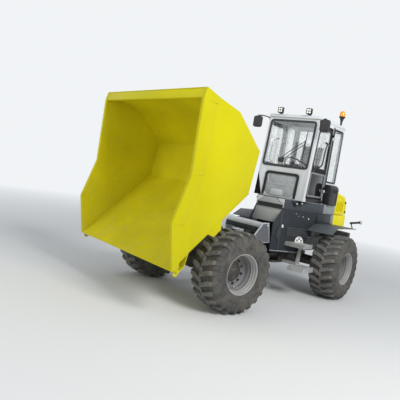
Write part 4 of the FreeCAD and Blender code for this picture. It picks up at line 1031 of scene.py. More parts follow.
rail = joined("grab_rail", [
    pipe("rail", [(-1.190, 0.512, 2.815), (-1.175, 0.560, 2.815), (-1.110, 0.570, 2.760), (-1.075, 0.570, 2.620),
                  (-1.062, 0.570, 2.450), (-1.058, 0.560, 2.365), (-1.056, 0.512, 2.345)], 0.013),
    bar("rail_foot_upper", (-1.190, 0.505, 2.815), (-1.190, 0.522, 2.815), 0.022, 20, 0.003),
    bar("rail_foot_lower", (-1.056, 0.505, 2.345), (-1.056, 0.522, 2.345), 0.022, 20, 0.003)])
both_sides(rail, "grab_rail", "door_{}", "black_plastic")

# %% Black trim on the rear door posts, seals of the rear side windows and the back window
post_trim = plate("post_trim", soft_corners([(-1.402, 0.5202, 1.700), (-1.402, 0.5202, 3.150),
                                             (-1.452, 0.5202, 3.150), (-1.452, 0.5202, 1.700)], 0.01), (0, 0.006, 0))
both_sides(post_trim, "post_trim", "rear", "black_plastic")
QUARTER = [(-1.450, 0.5202, 2.110), (-1.450, 0.5202, 3.114), (-1.840, 0.5202, 3.114), (-1.840, 0.5202, 2.110)]
both_sides(seal("quarter_seal", QUARTER, 0.014, 0.014, (0, 0.008, 0), 0.05), "quarter_seal", "rear",
           "rubber_seal")
back_window = [(-1.9002, -0.46, 2.110), (-1.9002, 0.46, 2.110), (-1.9002, 0.46, 3.114), (-1.9002, -0.46, 3.114)]
dressed(seal("rear_window_seal", back_window, 0.014, 0.016, (-0.009, 0, 0), 0.05), "rear", "rubber_seal", REAR)
hinges = []
for height in (1.950, 2.950):
    hinges.append(bar(f"hinge_{height}", (-1.392, 0.536, height - 0.036), (-1.392, 0.536, height + 0.036), 0.0135, 20,
                      0.002))
both_sides(joined("hinge_covers", hinges), "hinge_covers", "rear", "black_plastic")
print("sides done")

# %% [markdown]
# ## Lamps, mirrors and beacon
# These are small, but they stand against the sky, so their outlines matter. A work lamp is a
# finned box with four reflectors behind a clear lens. The mirrors hang from bent tubes.

# %% Work lamps
both = []
lamp_z = 3.307
body = block("lamp_body", (-0.762, 0.242, lamp_z - 0.053), (-0.706, 0.348, lamp_z + 0.053), 0.010, 3)
fins = [block(f"lamp_fin_{i}", (-0.770, 0.252 + i * 0.0185, lamp_z - 0.044), (-0.752, 0.258 + i * 0.0185,
                                                                           lamp_z + 0.044), 0.002)
        for i in range(5)]
hood_rim = seal("lamp_bezel", [(-0.712, 0.247, lamp_z - 0.048), (-0.712, 0.343, lamp_z - 0.048),
                               (-0.712, 0.343, lamp_z + 0.048), (-0.712, 0.247, lamp_z + 0.048)],
                0.006, 0.004, (0.0115, 0, 0), 0.012)
foot = block("lamp_foot", (-0.808, 0.277, 3.241), (-0.742, 0.313, 3.252), 0.003)
stirrup = pipe("lamp_stirrup", [(-0.735, 0.243, lamp_z), (-0.752, 0.238, 3.256), (-0.760, 0.295, 3.249),
                                (-0.752, 0.352, 3.256), (-0.735, 0.347, lamp_z)], 0.005)
both_sides(joined("lamp_housing", [body, *fins, hood_rim, foot, stirrup]), "lamp_housing", "rear",
           "black_plastic", node="work_lamp_{}")
cells = []
for dy in (-0.022, 0.022):
    for dz in (-0.022, 0.022):
        cells.append(bar(f"reflector_{dy}_{dz}", (-0.7075, 0.295 + dy, lamp_z + dz), (-0.7035, 0.295 + dy, lamp_z + dz),
                         0.0185, 24, 0.001, tip=0.0195))
both_sides(joined("lamp_reflectors", cells), "lamp_reflectors", "rear", "clear_lens")

# %% Mirrors
housing = plate("mirror_housing", soft_corners([(-0.655, 0.602, 2.942), (-0.655, 0.788, 2.942), (-0.655, 0.788, 3.158),
                                                 (-0.655, 0.602, 3.158)], 0.055, 6), (0.063, 0, 0), 0.022, 5)
arm = pipe("mirror_arm", [(-0.784, 0.527, 3.146), (-0.760, 0.560, 3.172), (-0.690, 0.640, 3.180),
                          (-0.630, 0.690, 3.172), (-0.622, 0.695, 3.120)], 0.0105)
knuckle = bar("mirror_knuckle", (-0.622, 0.695, 3.150), (-0.622, 0.695, 3.176), 0.018, 20, 0.003)
foot = block("mirror_foot", (-0.815, 0.520, 3.118), (-0.758, 0.532, 3.176), 0.004)
both_sides(joined("mirror_housing", [housing, arm, knuckle, foot]), "mirror_housing", "rear", "black_plastic",
           node="mirror_{}")
mirror_pane = plate("mirror_pane", soft_corners([(-0.6545, 0.627, 2.967), (-0.6545, 0.763, 2.967),
                                                 (-0.6545, 0.763, 3.133), (-0.6545, 0.627, 3.133)], 0.040),
                    (-0.002, 0, 0), 0)
both_sides(mirror_pane, "mirror_pane", "rear", "mirror_glass")

# %% Beacon: a black cone with an amber dome
beacon_base = spun("beacon_base", ((3.231, 0.0), (3.231, 0.030), (3.240, 0.030), (3.244, 0.018), (3.330, 0.021),
                                   (3.395, 0.040), (3.412, 0.057), (3.428, 0.060), (3.432, 0.056), (3.432, 0.0)),
                   (-1.820, 0.450, 0), "Z", 40)
dressed(beacon_base, "rear", "black_plastic", REAR, node="beacon")
dome = spun("beacon_dome", ((3.430, 0.0), (3.430, 0.056), (3.450, 0.057), (3.500, 0.052), (3.524, 0.044),
                            (3.536, 0.030), (3.540, 0.012), (3.540, 0.0)), (-1.820, 0.450, 0), "Z", 40)
dressed(dome, "rear", "beacon_amber", REAR)
print("lamps, mirrors and beacon done")

# %% [markdown]
# ## Inside the cab
# Through the glass show the steering wheel, the dashboard's instrument pod, a console with its
# joystick, and the seat.

# %% Steering wheel
HUB_POINT = Vector((-1.032, 0, 2.321))
COLUMN = Vector((-0.747, 0, 0.664)).normalized()
clear()
bpy.ops.mesh.primitive_torus_add(major_radius=0.185, minor_radius=0.0145, major_segments=64, minor_segments=12,
                                 location=HUB_POINT, rotation=COLUMN.to_track_quat("Z", "Y").to_euler())
wheel_rim = applied(bpy.context.object)
side_way = Vector((0, 1, 0))
up_way = COLUMN.cross(side_way)
spokes = [pipe(f"spoke_{i}", [HUB_POINT - COLUMN * 0.022 + (side_way * math.cos(turn) + up_way * math.sin(turn)) * reach
                              + COLUMN * lift for reach, lift in ((0.02, 0), (0.10, 0.004), (0.180, 0.022))], 0.010)
          for i, turn in enumerate((math.radians(5), math.radians(175), math.radians(270)))]
boss = spun("wheel_boss", ((-0.04, 0.0), (-0.04, 0.040), (-0.012, 0.050), (0.004, 0.046), (0.008, 0.0)), (0, 0, 0),
            "Z", 32)
boss.matrix_world = Matrix.Translation(HUB_POINT) @ COLUMN.to_track_quat("Z", "Y").to_matrix().to_4x4()
applied(boss)
column = bar("steering_column", HUB_POINT - COLUMN * 0.190, HUB_POINT - COLUMN * 0.030, 0.030, 28, 0.003, tip=0.024)
knob = bar("wheel_knob", HUB_POINT + up_way * 0.185 + COLUMN * 0.010, HUB_POINT + up_way * 0.185 + COLUMN * 0.050,
           0.020, 24, 0.008)
dressed(joined("steering_wheel_round", [wheel_rim, *spokes, boss, column, knob]), "rear", "black_plastic", REAR,
        node="steering_wheel")

# %% Instrument pod, console and joystick
pod = plate("instrument_pod", [(-0.800, -0.16, 2.222), (-0.815, -0.16, 2.290), (-0.865, -0.16, 2.330),
                               (-0.885, -0.16, 2.315), (-0.860, -0.16, 2.222)], (0, 0.32, 0), 0.012, 3)
vents = [bar(f"vent_{y}", (-0.800, y, 2.222), (-0.800, y, 2.232), 0.035, 28, 0.003) for y in (-0.27, 0.27)]
dressed(joined("instrument_pod", [pod, *vents]), "rear", "black_plastic", REAR)
face = block("instrument_face", (-0.882, -0.12, 2.240), (-0.876, 0.12, 2.305), 0.002)
dressed(face, "rear", "gloss_black", REAR)
console = joined("console", [block("console_box", (-1.660, -0.465, 1.740), (-1.180, -0.310, 2.260), 0.030, 3),
                             block("console_top", (-1.500, -0.455, 2.255), (-1.190, -0.320, 2.290), 0.014, 3),
                             pipe("stick", [(-1.270, -0.385, 2.280), (-1.262, -0.385, 2.340), (-1.255, -0.385, 2.390)],
                                  0.009),
                             block("grip", (-1.280, -0.405, 2.375), (-1.232, -0.365, 2.475), 0.018, 4)])
dressed(console, "rear", "black_plastic", REAR)
print("cab inside done")

# %% [markdown]
# ## Body
# The side panels flare out from the cowl. Their plane is tilted two ways, so their fittings are
# modelled in a frame of their own: x rearwards along the panel's top edge, y up the panel and
# z out of it.

# %% Louvres, cap and latch of the side panels
FLARE = REAR @ Matrix(((-0.93089, -0.06955, 0.35861, -0.410), (0.36529, -0.17724, 0.91387, 0.290),
                       (0.0, 0.98171, 0.19040, 1.4997), (0, 0, 0, 1)))
MIRRORED_FLARE = REAR @ MIRROR @ REAR.inverted() @ FLARE


def on_flares(piece, name, finish, smooth=35):
    """A fitting of the left side panel, and its mirror image on the right."""
    for side, base in (("left", FLARE), ("right", MIRRORED_FLARE)):
        dressed(copied(piece, f"{name}_{side}", base), "rear", finish, None, smooth)
    bpy.data.objects.remove(piece)


RECESS = [(0.092, -0.300, 0.0005), (0.640, -0.306, 0.0005), (0.622, -0.474, 0.0005), (0.084, -0.480, 0.0005)]
on_flares(seal("recess_rim", RECESS, 0.004, 0.012, (0, 0, 0.008), 0.02), "recess_rim", "slate")
# The black floor behind the slats is painted shade: it stands in for the depth of the louvre recess and its openings.
on_flares(plate("recess_shade_floor", soft_corners(grown(RECESS, -0.003), 0.016), (0, 0, 0.0015), 0), "recess_shade_floor",
          "black_plastic")
slats = []
for t, start, stop in ((0.334, 0.112, 0.622), (0.372, 0.108, 0.618), (0.410, 0.104, 0.614), (0.448, 0.100, 0.610)):
    slat = plate(f"slat_{t}", [(start, -t - 0.016, 0.002), (start, -t + 0.006, 0.002), (start, -t + 0.004, 0.011),
                               (start, -t - 0.004, 0.013)], (stop - start, -0.004, 0), 0.002)
    slats.append(slat)
# The slats take the lighter copy of the slate paint: painted light on their lit faces.
on_flares(joined("slats", slats), "louvre_slats", "slate_painted_lit")
cap = spun("side_cap", ((0.0005, 0.0), (0.0005, 0.097), (0.006, 0.100), (0.011, 0.097), (0.012, 0.088),
                        (0.008, 0.083), (0.008, 0.026), (0.013, 0.022), (0.013, 0.0)), (0.389, -0.565, 0), "Z", 56)
on_flares(cap, "side_cap", "white_plastic")
holes = []
for i in range(6):
    turn = math.radians(30 + i * 60)
    spot = Vector((0.389 + 0.055 * math.cos(turn), -0.565 + 0.055 * math.sin(turn), 0.0070))
    holes.append(bar(f"cap_hole_{i}", spot, spot + Vector((0, 0, 0.0018)), 0.0180, 24, 0))
on_flares(joined("cap_holes", holes), "cap_holes", "black_plastic")
latch = plate("latch", soft_corners([(-0.030, -0.300, 0.0005), (-0.070, -0.296, 0.0005), (-0.128, -0.400, 0.0005),
                                     (-0.150, -0.540, 0.0005), (-0.098, -0.552, 0.0005), (-0.040, -0.460, 0.0005),
                                     (-0.052, -0.400, 0.0005)], 0.018), (0, 0, 0.016), 0.005, 3)
on_flares(latch, "panel_latch", "black_plastic")
clips = [block("clip", (-0.026, -0.338, 0.0005), (0.008, -0.282, 0.014), 0.005, 3),
         block("clip_tongue", (-0.058, -0.322, 0.0005), (-0.020, -0.304, 0.010), 0.004)]
on_flares(joined("clips", clips), "panel_clip", "white_plastic")
screws = [bar(f"panel_screw_{i}", (s, -t, 0.0), (s, -t, 0.008), radius, 16, 0.002)
          for i, (s, t, radius) in enumerate(((0.602, 0.126, 0.014), (0.466, 0.102, 0.009), (0.300, 0.060, 0.007),
                                              (0.360, 0.100, 0.007), (0.605, 0.462, 0.012), (-0.066, 0.408, 0.010),
                                              (0.560, 0.640, 0.009), (0.520, 0.700, 0.009)))]
on_flares(joined("panel_screws", screws), "panel_screws", "galvanised")

# %% Folds and edges of the side panels
edge = plate("foot_edge", [(-0.280, -0.752, 0.0), (0.426, -0.752, 0.0), (0.426, -0.742, 0.010),
                           (-0.280, -0.742, 0.010)], (0, -0.010, 0.002), 0.002)
on_flares(edge, "foot_edge", "slate_light")
pocket = seal("pocket", [(0.120, -0.560, 0.0005), (0.300, -0.530, 0.0005), (0.330, -0.690, 0.0005),
                         (0.060, -0.700, 0.0005)], 0.004, 0.006, (0, 0, 0.006), 0.02)
on_flares(pocket, "panel_pocket", "slate")
fold = plate("cheek_fold", [(-0.012, -0.030, 0.0), (-0.088, -0.742, 0.0), (-0.096, -0.742, 0.004),
                            (-0.020, -0.030, 0.004)], (0.004, 0, 0), 0.001)
on_flares(fold, "cheek_fold", "gantry_side")

# %% Seams and lighter rear cover of the band under the cab, and the cab's front mounts
cover = plate("band_cover", soft_corners([(-1.375, 0.6002, 1.506), (-1.375, 0.6002, 1.670), (-1.888, 0.6002, 1.670),
                                          (-1.888, 0.6002, 1.506)], 0.006), (0, 0.003, 0), 0.001)
low_cover = plate("strip_cover", soft_corners([(-1.764, 0.6002, 1.322), (-1.764, 0.6002, 1.494),
                                               (-1.894, 0.6002, 1.494), (-1.894, 0.6002, 1.322)], 0.006),
                  (0, 0.003, 0), 0.001)
both_sides(joined("band_cover", [cover, low_cover]), "band_cover", "rear", "slate_light")
nose = plate("band_nose", [(-0.409, 0.287, 1.516), (-0.409, 0.287, 1.672), (-0.409, 0.130, 1.672), (-0.409, 0.266, 1.570),
                           (-0.409, 0.266, 1.516)], (0.003, 0, 0), 0.001)
both_sides(nose, "band_nose", "rear", "cab_grey")
top_edge = joined("band_edge", [pipe("band_edge_front", [(-0.412, 0.2885, 1.676), (-0.806, 0.4440, 1.676),
                                                         (-1.200, 0.5985, 1.676), (-1.888, 0.5985, 1.676)], 0.005,
                                     smooth=False)])
both_sides(top_edge, "band_edge", "rear", "slate_light")
ALONG = Vector((-0.790, 0.310, 0)).normalized()
OUT = Vector((0.310, 0.790, 0)).normalized()


def by_band(along, out, z):
    """A point near the slanted side of the band, measured from its front corner."""
    return Vector((-0.410, 0.290, z)) + ALONG * along + OUT * out


mount = plate("cab_mount", soft_corners([by_band(0.155, 0.0, 1.676), by_band(0.200, 0.0, 1.600),
                                         by_band(0.250, 0.0, 1.560), by_band(0.330, 0.0, 1.600),
                                         by_band(0.480, 0.0, 1.676)], 0.02), OUT * 0.020, 0.004, 3)
rubber = [bar(f"mount_rubber_{i}", by_band(along, 0.018, z), by_band(along, 0.046, z), 0.036, 28, 0.006)
          for i, (along, z) in enumerate(((0.245, 1.622), (0.360, 1.640)))]
both_sides(joined("cab_mount", [mount, *rubber]), "cab_mount", "rear", "black_plastic")
heads = [bar(f"mount_bolt_{i}", by_band(along, 0.044, z), by_band(along, 0.058, z), 0.016, 6, 0.002)
         for i, (along, z) in enumerate(((0.245, 1.622), (0.360, 1.640)))]
both_sides(joined("mount_bolts", heads), "mount_bolts", "rear", "galvanised")
sill = plate("door_sill", soft_corners([(-0.735, 0.5202, 1.684), (-0.735, 0.5202, 1.742), (-1.395, 0.5202, 1.742),
                                        (-1.395, 0.5202, 1.684)], 0.008), (0, 0.010, 0), 0.003)
both_sides(sill, "door_sill", "rear", "black_plastic")
print("side panels done")

# %% Cowl: seams and a rib, and the dark band between the cowl and its cap
seam = joined("cowl_seam", [block("cowl_band", (-0.4015, -0.283, 1.502), (-0.3895, 0.283, 1.514), 0.002),
                            block("cowl_gap", (-0.4015, -0.286, 1.488), (-0.3925, 0.286, 1.4995), 0.001)])
dressed(seam, "rear", "seal_grey", REAR)
cap_fold = plate("cap_fold", [(-0.3915, -0.262, 1.572), (-0.3915, 0.262, 1.572), (-0.3915, 0.110, 1.664),
                              (-0.3915, -0.110, 1.664)], (0.004, 0, 0), 0.0015)
dressed(cap_fold, "rear", "cowl_grey", REAR)
frame_line = seal("cowl_frame", [(-0.4015, -0.300, 1.250), (-0.4015, 0.300, 1.250), (-0.4015, 0.262, 1.470),
                                 (-0.4015, -0.262, 1.470)], 0.002, 0.006, (0.003, 0, 0), 0.012)
dressed(frame_line, "rear", "cowl_grey", REAR)
print("cowl done")

# %% [markdown]
# ## Front half
# The gantry behind the skip is a half-round cover between two side plates; a dark sheet below it
# is painted shade. A galvanised bracket with a hole is bolted to the foot of each side plate.

# %% Gantry: painted shade sheet, folded edges, brackets
# A dark sheet on the lower front of the gantry: painted shade under the lit cover.
sheet = plate("gantry_shade_sheet", soft_corners([(0.2805, -0.416, 1.070), (0.2805, 0.416, 1.070), (0.2805, 0.416, 1.158),
                                            (0.2805, -0.416, 1.158)], 0.006), (0.004, 0, 0), 0.001)
dressed(sheet, "front", "slate_painted_lit", FRONT)
fold = joined("gantry_fold", [
    plate("fold_slope", [(0.4815, 0.4362, 0.960), (0.4505, 0.4362, 1.001), (0.2615, 0.4362, 1.240),
                         (0.2540, 0.4362, 1.232), (0.4430, 0.4362, 0.995), (0.4740, 0.4362, 0.954)],
          (0, 0.012, 0), 0.002),
    block("fold_top", (0.112, 0.4362, 1.240), (0.255, 0.448, 1.2495), 0.002)])
both_sides(fold, "gantry_fold", "front", "gantry_grey", base=FRONT)
side = plate("gantry_side", grown([(0.460, 0.4362, 0.952), (0.436, 0.4362, 0.990), (0.250, 0.4362, 1.225),
                                   (0.122, 0.4362, 1.232), (0.040, 0.4362, 0.928), (0.355, 0.4362, 0.908)], 0.0),
             (0, 0.002, 0), 0)
both_sides(side, "gantry_side", "front", "gantry_side", base=FRONT)
bracket = joined("bracket", [
    ring_plate("bracket_web", soft_corners([(0.350, 0.437, 0.885), (0.350, 0.437, 0.960), (0.470, 0.437, 0.960),
                                            (0.478, 0.437, 0.885)], 0.012, 5),
               [Vector((0.398 + 0.014 * math.cos(math.radians(225 - i * 15)), 0.437,
                        0.925 + 0.014 * math.sin(math.radians(225 - i * 15)))) for i in range(24)],
               (0, 0.006, 0), 0.001),
    block("bracket_shelf", (0.350, 0.437, 0.882), (0.478, 0.488, 0.890), 0.002),
    bar("bracket_bolt", (0.448, 0.441, 0.928), (0.448, 0.454, 0.928), 0.011, 6, 0.002)])
both_sides(bracket, "gantry_bracket", "front", "galvanised", base=FRONT)
caps = [bar("tie_down", (0.150, 0.431, 1.205), (0.150, 0.452, 1.205), 0.018, 24, 0.004),
        bar("tie_bolt", (0.150, 0.450, 1.205), (0.150, 0.458, 1.205), 0.010, 6, 0.001)]
both_sides(joined("gantry_caps", caps), "gantry_caps", "front", "galvanised", base=FRONT)

# %% Cylinders: glands, clamping rings and the red caps of the steering cylinder's test ports
def cylinder_fittings(name, base, eye, mouth, radius, rod):
    """Fittings of one cylinder, from its base pin along to its eye."""
    turn = (eye - base).to_track_quat("Z", "Y").to_matrix().to_4x4()
    place = Matrix.Translation(base) @ turn
    gland = spun(f"{name}_gland", ((mouth - 0.040, radius + 0.0004), (mouth - 0.038, radius + 0.006),
                                   (mouth - 0.006, radius + 0.006), (mouth, radius + 0.002),
                                   (mouth + 0.004, rod + 0.006), (mouth + 0.004, rod + 0.0012),
                                   (mouth - 0.040, rod + 0.0012)), (0, 0, 0), "Z", 48)
    collar = spun(f"{name}_collar", ((radius + 0.030, radius + 0.0004), (radius + 0.031, radius + 0.004),
                                     (radius + 0.051, radius + 0.004), (radius + 0.052, radius + 0.0004)),
                  (0, 0, 0), "Z", 48)
    port = [bar(f"{name}_port_{i}", (0, -radius + 0.002, along), (0, -radius - 0.022, along), 0.015, 6, 0.002)
            for i, along in enumerate((radius + 0.075, mouth - 0.070))]
    pipe_points = [(0, -radius - 0.018, radius + 0.075), (0, -radius - 0.020, radius + 0.120),
                   (0.012, -radius - 0.012, (radius + mouth) / 2), (0, -radius - 0.020, mouth - 0.115),
                   (0, -radius - 0.018, mouth - 0.070)]
    piece = joined(f"{name}_fittings", [gland, collar, *port, pipe(f"{name}_pipe", pipe_points, 0.006)])
    dressed(copied(piece, f"{name}_fittings_set", place), f"{name}_barrel", "hub_iron")
    bpy.data.objects.remove(piece)


tip_base = FRONT @ Vector((0.500, 0, 0.800))
tip_eye = SKIP @ Vector((-0.450, 0, -0.012))
cylinder_fittings("tip", tip_base, tip_eye, 0.656, 0.055, 0.032)
steer_base = REAR @ Vector((-0.545, 0.220, 0.680))
steer_eye = FRONT @ Vector((0.300, 0.300, 0.680))
cylinder_fittings("steer", steer_base, steer_eye, 0.592, 0.036, 0.020)
port_plate = block("port_plate", (-0.105, 0.2600, 0.545), (-0.050, 0.2720, 0.700), 0.004)
dressed(port_plate, "steer_barrel", "hub_iron", REAR)
red_caps = [bar(f"red_cap_{i}", (-0.078, 0.2700, z), (-0.078, 0.3000, z), 0.0215, 24, 0.005)
            for i, z in enumerate((0.617, 0.563))]
dressed(joined("red_caps", red_caps), "steer_barrel", "red_plastic", REAR)
print("cylinders done")

# %% [markdown]
# ## Rear
# The hood's sides have a raised border with upright ribs between its slots, and two rubber
# buffers at the rear edge. The back carries a handle, the lamps and a blank plate.

# %% Hood sides
RIBS = [(-1.985, 0.5805, 1.552), (-1.985, 0.5805, 1.790), (-2.322, 0.5805, 1.790), (-2.322, 0.5805, 1.552)]
border = seal("hood_border", RIBS, 0.0, 0.022, (0, 0.008, 0), 0.030)
ribs = [plate(f"hood_rib_{x}", soft_corners([(x - 0.010, 0.5805, 1.562), (x - 0.010, 0.5805, 1.780),
                                             (x + 0.010, 0.5805, 1.780), (x + 0.010, 0.5805, 1.562)], 0.006),
              (0, 0.009, 0), 0.004, 3) for x in (-1.989, -2.052, -2.120, -2.188, -2.256, -2.318)]
arch = pipe("hood_arch", [(-1.935, 0.5815, 1.880), (-2.150, 0.5815, 1.866), (-2.320, 0.5815, 1.822),
                          (-2.412, 0.5815, 1.730), (-2.438, 0.5815, 1.600)], 0.006)
both_sides(joined("hood_border", [border, *ribs, arch]), "hood_border", "hood", "hood_yellow")
buffers = []
for x, z in ((-2.425, 1.768), (-2.462, 1.580)):
    buffers.append(bar(f"buffer_{z}", (x, 0.579, z), (x, 0.592, z), 0.026, 28, 0.004, tip=0.022))
    buffers.append(bar(f"buffer_stud_{z}", (x, 0.590, z), (x, 0.600, z), 0.014, 20, 0.003))
both_sides(joined("hood_buffers", buffers), "hood_buffers", "hood", "black_plastic")
hood_grille = [block(f"grille_bar_{i}", (-2.5185, -0.340, 1.560 + i * 0.036), (-2.506, 0.340, 1.576 + i * 0.036), 0.003)
               for i in range(6)]
grille_rim = seal("grille_rim", [(-2.5105, -0.36, 1.545), (-2.5105, 0.36, 1.545), (-2.5105, 0.36, 1.785),
                                 (-2.5105, -0.36, 1.785)], 0.0, 0.018, (-0.010, 0, 0), 0.03)
dressed(joined("hood_grille", [*hood_grille, grille_rim]), "hood", "black_plastic", REAR)
print("hood done")

# %% Rear panel: lamps, plate, seams and screws
lamp_sets = []
for sign in (1, -1):
    lamp_sets.append(block(f"tail_box_{sign}", (-2.548, min(sign * 0.43, sign * 0.56), 1.335),
                           (-2.519, max(sign * 0.43, sign * 0.56), 1.445), 0.008, 3))
number_plate = block("number_plate_back", (-2.5265, -0.27, 1.325), (-2.519, 0.27, 1.455), 0.003)
dressed(joined("tail_boxes", [*lamp_sets, number_plate]), "rear", "black_plastic", REAR)
dressed(plate("number_plate", soft_corners([(-2.5266, -0.262, 1.332), (-2.5266, 0.262, 1.332), (-2.5266, 0.262, 1.448),
                                            (-2.5266, -0.262, 1.448)], 0.008), (-0.0015, 0, 0), 0), "rear",
        "white_plastic", REAR)
red = [bar(f"tail_lens_{y}", (-2.546, y, 1.372 + dz), (-2.553, y, 1.372 + dz), 0.026, 32, 0.004)
       for y in (-0.53, -0.46, 0.46, 0.53) for dz in (0.0,)]
dressed(joined("tail_lenses", red), "rear", "red_lens", REAR)
amber = [bar(f"turn_lens_{y}", (-2.546, y, 1.424), (-2.552, y, 1.424), 0.014, 24, 0.003)
         for y in (-0.53, -0.46, 0.46, 0.53)]
dressed(joined("turn_lenses", amber), "rear", "beacon_amber", REAR)
skirt_seam = [block(f"skirt_{y}", (-2.5215, y - 0.004, 1.225), (-2.519, y + 0.004, 1.485), 0.001)
              for y in (-0.60 + 0.02, 0.58)]
dressed(joined("skirt_seams", skirt_seam), "rear", "black_plastic", REAR)
skirt_screws = [bar(f"skirt_screw_{i}", (x, 0.5995, z), (x, 0.6055, z), 0.009, 6, 0.001)
                for i, (x, z) in enumerate(((-1.95, 1.24), (-2.20, 1.24), (-2.45, 1.24), (-1.95, 1.47), (-2.45, 1.47)))]
both_sides(joined("skirt_screws", skirt_screws), "skirt_screws", "rear", "galvanised")
print("rear done")

# %% Wings: rolled edges, stiffening ribs, and the side lamps on rubber arms
wing_edges = [pipe("wing_edge", [(-0.862, 1.0640, 1.186), (-1.099, 1.0640, 1.305), (-1.958, 1.0640, 1.305)], 0.008,
                   smooth=False),
              pipe("wing_front", [(-0.862, 0.606, 1.186), (-0.862, 1.0640, 1.186)], 0.008, smooth=False)]
for y in (0.70, 0.83, 0.96):
    wing_edges.append(plate(f"wing_rib_{y}", soft_corners([(-1.130, y - 0.016, 1.310), (-1.130, y + 0.016, 1.310),
                                                           (-1.900, y + 0.016, 1.310), (-1.900, y - 0.016, 1.310)],
                                                          0.010), (0, 0, 0.004), 0.0015))
both_sides(joined("wing_edges", wing_edges), "wing_edges", "rear", "wing_grey")
elbow = Vector((-1.950, 0.955, 1.405))
outwards = Vector((-0.040, 0.185, 0.048)).normalized()
sleeve = joined("lamp_sleeve", [
    bar("sleeve_arm", elbow - outwards * 0.024, elbow + outwards * 0.166, 0.0195, 24, 0.003),
    bar("sleeve_ring_0", elbow + outwards * 0.010, elbow + outwards * 0.018, 0.0235, 24, 0.002),
    bar("sleeve_ring_1", elbow + outwards * 0.140, elbow + outwards * 0.150, 0.0235, 24, 0.002),
    bar("sleeve_cup", elbow + outwards * 0.164, elbow + outwards * 0.180, 0.0350, 32, 0.003)])
both_sides(sleeve, "lamp_sleeve", "rear", "black_plastic")
tip = spun("side_lens", ((0.179, 0.0), (0.179, 0.034), (0.192, 0.034), (0.203, 0.029), (0.209, 0.018), (0.211, 0.0)),
           (0, 0, 0), "Z", 40)
tip.matrix_world = Matrix.Translation(elbow) @ outwards.to_track_quat("Z", "Y").to_matrix().to_4x4()
applied(tip)
both_sides(tip, "side_lens", "rear", "white_plastic")

# %% Steps: teeth along the edges and round dimples on the treads
teeth = [block(f"tooth_{edge}_{i}", (x, y - 0.003, z), (x + 0.012, y + 0.003, z + 0.012), 0)
         for edge, (start, stop, y, z) in enumerate(((-0.720, -0.345, 0.896, 0.559), (-0.750, -0.435, 0.796, 0.944)))
         for i, x in enumerate([start + k * 0.026 for k in range(int((stop - start) / 0.026))])]
front_teeth = [block(f"front_tooth_{edge}_{i}", (x - 0.003, y, z), (x + 0.003, y + 0.012, z + 0.012), 0)
               for edge, (x, start, stop, z) in enumerate(((-0.334, 0.620, 0.885, 0.559), (-0.424, 0.560, 0.785, 0.944)))
               for i, y in enumerate([start + k * 0.026 for k in range(int((stop - start) / 0.026))])]
dimples = [bar(f"dimple_{k}_{i}_{j}", (x0 + i * dx, y0 + j * 0.052, z), (x0 + i * dx, y0 + j * 0.052, z + 0.0035),
               0.0115, 10, 0, tip=0.008)
           for k, (x0, y0, z, columns, rows, dx) in enumerate(((-0.700, 0.640, 0.5600, 7, 5, 0.056),
                                                              (-0.725, 0.640, 0.9450, 6, 3, 0.054)))
           for i in range(columns) for j in range(rows)]
both_sides(joined("step_teeth", teeth + front_teeth + dimples), "step_teeth", "rear", "galvanised")
stringer = joined("step_stringer", [bar(f"step_bolt_{i}", (x, 0.609, z), (x, 0.620, z), 0.012, 6, 0.002)
                                    for i, (x, z) in enumerate(((-0.690, 0.640), (-0.690, 0.860), (-0.720, 0.750)))])
both_sides(stringer, "step_bolts", "rear", "galvanised")

# %% Storage boxes: lid, latches and grooves
box_parts = [block("box_lid", (-1.802, 0.640, 1.965), (-1.443, 0.6635, 1.975), 0.002),
             *[plate(f"box_rib_{x}", soft_corners([(x - 0.012, 0.6602, 1.720), (x - 0.012, 0.6602, 1.940),
                                                   (x + 0.012, 0.6602, 1.940), (x + 0.012, 0.6602, 1.720)], 0.008),
                     (0, 0.004, 0), 0.002) for x in (-1.505, -1.740)],
             block("box_latch_0", (-1.690, 0.6602, 1.925), (-1.655, 0.676, 1.995), 0.004),
             block("box_latch_1", (-1.590, 0.6602, 1.925), (-1.555, 0.676, 1.995), 0.004)]
both_sides(joined("box_parts", box_parts), "box_parts", "rear", "black_plastic")
lid_edge = plate("lid_edge", [(-1.448, 0.5265, 2.0605), (-1.448, 0.612, 2.0605), (-1.796, 0.612, 2.0605),
                              (-1.796, 0.5265, 2.0605)], (0, 0, 0.004), 0.0015)
both_sides(lid_edge, "lid_edge", "rear", "grey_plastic")
print("wings, steps and boxes done")

# %% [markdown]
# ## Seat
# The driver's seat has a moulded base on bellows and two upholstered cushions. Each cushion
# starts as its shape in the CAD part, a little smaller, and is blown up by a cloth simulation
# with pressure, so that it crowns between its edges. How far a point may move is capped.

# %% Cushions by cloth simulation
FLOOR = 1.7003


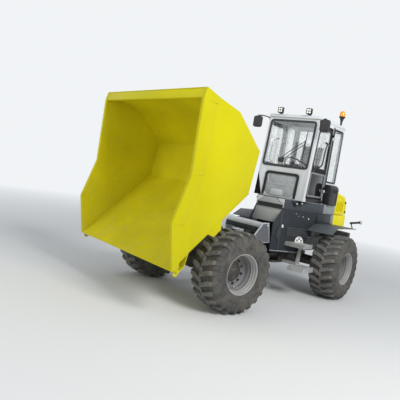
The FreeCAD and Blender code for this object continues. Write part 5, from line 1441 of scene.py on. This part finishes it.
def cushion(name, outline, width, cap):
    """An upholstered cushion, blown up from a padded outline in the XZ plane."""
    piece = plate(name, soft_corners([(x, -width / 2, z) for x, z in outline], 0.035, 5), (0, width, 0), 0.022, 4)
    remesh = piece.modifiers.new("remesh", "REMESH")
    remesh.mode = "VOXEL"
    remesh.voxel_size = 0.006
    choose_only(piece)
    bpy.ops.object.modifier_apply(modifier=remesh.name)
    before = [vertex.co.copy() for vertex in piece.data.vertices]
    cloth = piece.modifiers.new("cloth", "CLOTH")
    cloth.settings.use_pressure = True
    cloth.settings.uniform_pressure_force = 4
    cloth.settings.effector_weights.gravity = 0
    cloth.settings.quality = 4
    cloth.point_cache.frame_start = 1
    cloth.point_cache.frame_end = 20
    for frame in range(1, 21):
        bpy.context.scene.frame_set(frame)
    choose_only(piece)
    bpy.ops.object.modifier_apply(modifier=cloth.name)
    for vertex, start in zip(piece.data.vertices, before):
        moved = vertex.co - start
        if moved.length > cap:
            vertex.co = start + moved.normalized() * cap
    bpy.context.scene.frame_set(1)
    modify(piece, "SUBSURF", levels=1, render_levels=1)
    return piece


seat_pad = cushion("seat_pad", [(-1.690, FLOOR + 0.368), (-1.690, FLOOR + 0.468), (-1.212, FLOOR + 0.468),
                                (-1.205, FLOOR + 0.368)], 0.470, 0.012)
back_pad = cushion("back_pad", [(-1.655, FLOOR + 0.480), (-1.572, FLOOR + 0.480), (-1.668, FLOOR + 1.085),
                                (-1.762, FLOOR + 1.085)], 0.430, 0.012)
for piece in (seat_pad, back_pad):
    dressed(piece, "rear", "seat_fabric", REAR)
print("cushions", len(seat_pad.data.vertices), len(back_pad.data.vertices))

# %% Seat base, bellows, back shell and arm rests
bellows = spun("bellows", ((1.745, 0.0), (1.745, 0.185), (1.775, 0.200), (1.805, 0.170), (1.835, 0.200), (1.865, 0.170),
                           (1.895, 0.200), (1.925, 0.170), (1.955, 0.200), (1.985, 0.180), (2.020, 0.190),
                           (2.020, 0.0)), (-1.455, 0, 0), "Z", 40)
pan = block("seat_pan", (-1.690, -0.240, 2.015), (-1.215, 0.240, 2.066), 0.016, 3)
foot = block("seat_foot", (-1.645, -0.215, 1.702), (-1.265, 0.215, 1.748), 0.010)
rests = [pipe(f"arm_rest_{sign}", [(-1.640, sign * 0.225, 2.360), (-1.500, sign * 0.243, 2.385),
                                   (-1.370, sign * 0.243, 2.385)], 0.024) for sign in (1, -1)]
shell = plate("seat_shell", soft_corners([(-1.662, -0.200, FLOOR + 0.500), (-1.640, -0.200, FLOOR + 0.490),
                                          (-1.752, -0.200, FLOOR + 1.070), (-1.776, -0.200, FLOOR + 1.070)], 0.006),
              (0, 0.400, 0), 0.004)
dressed(joined("seat_frame", [bellows, pan, foot, shell, *rests]), "rear", "black_plastic", REAR, node="seat")
print("seat done")
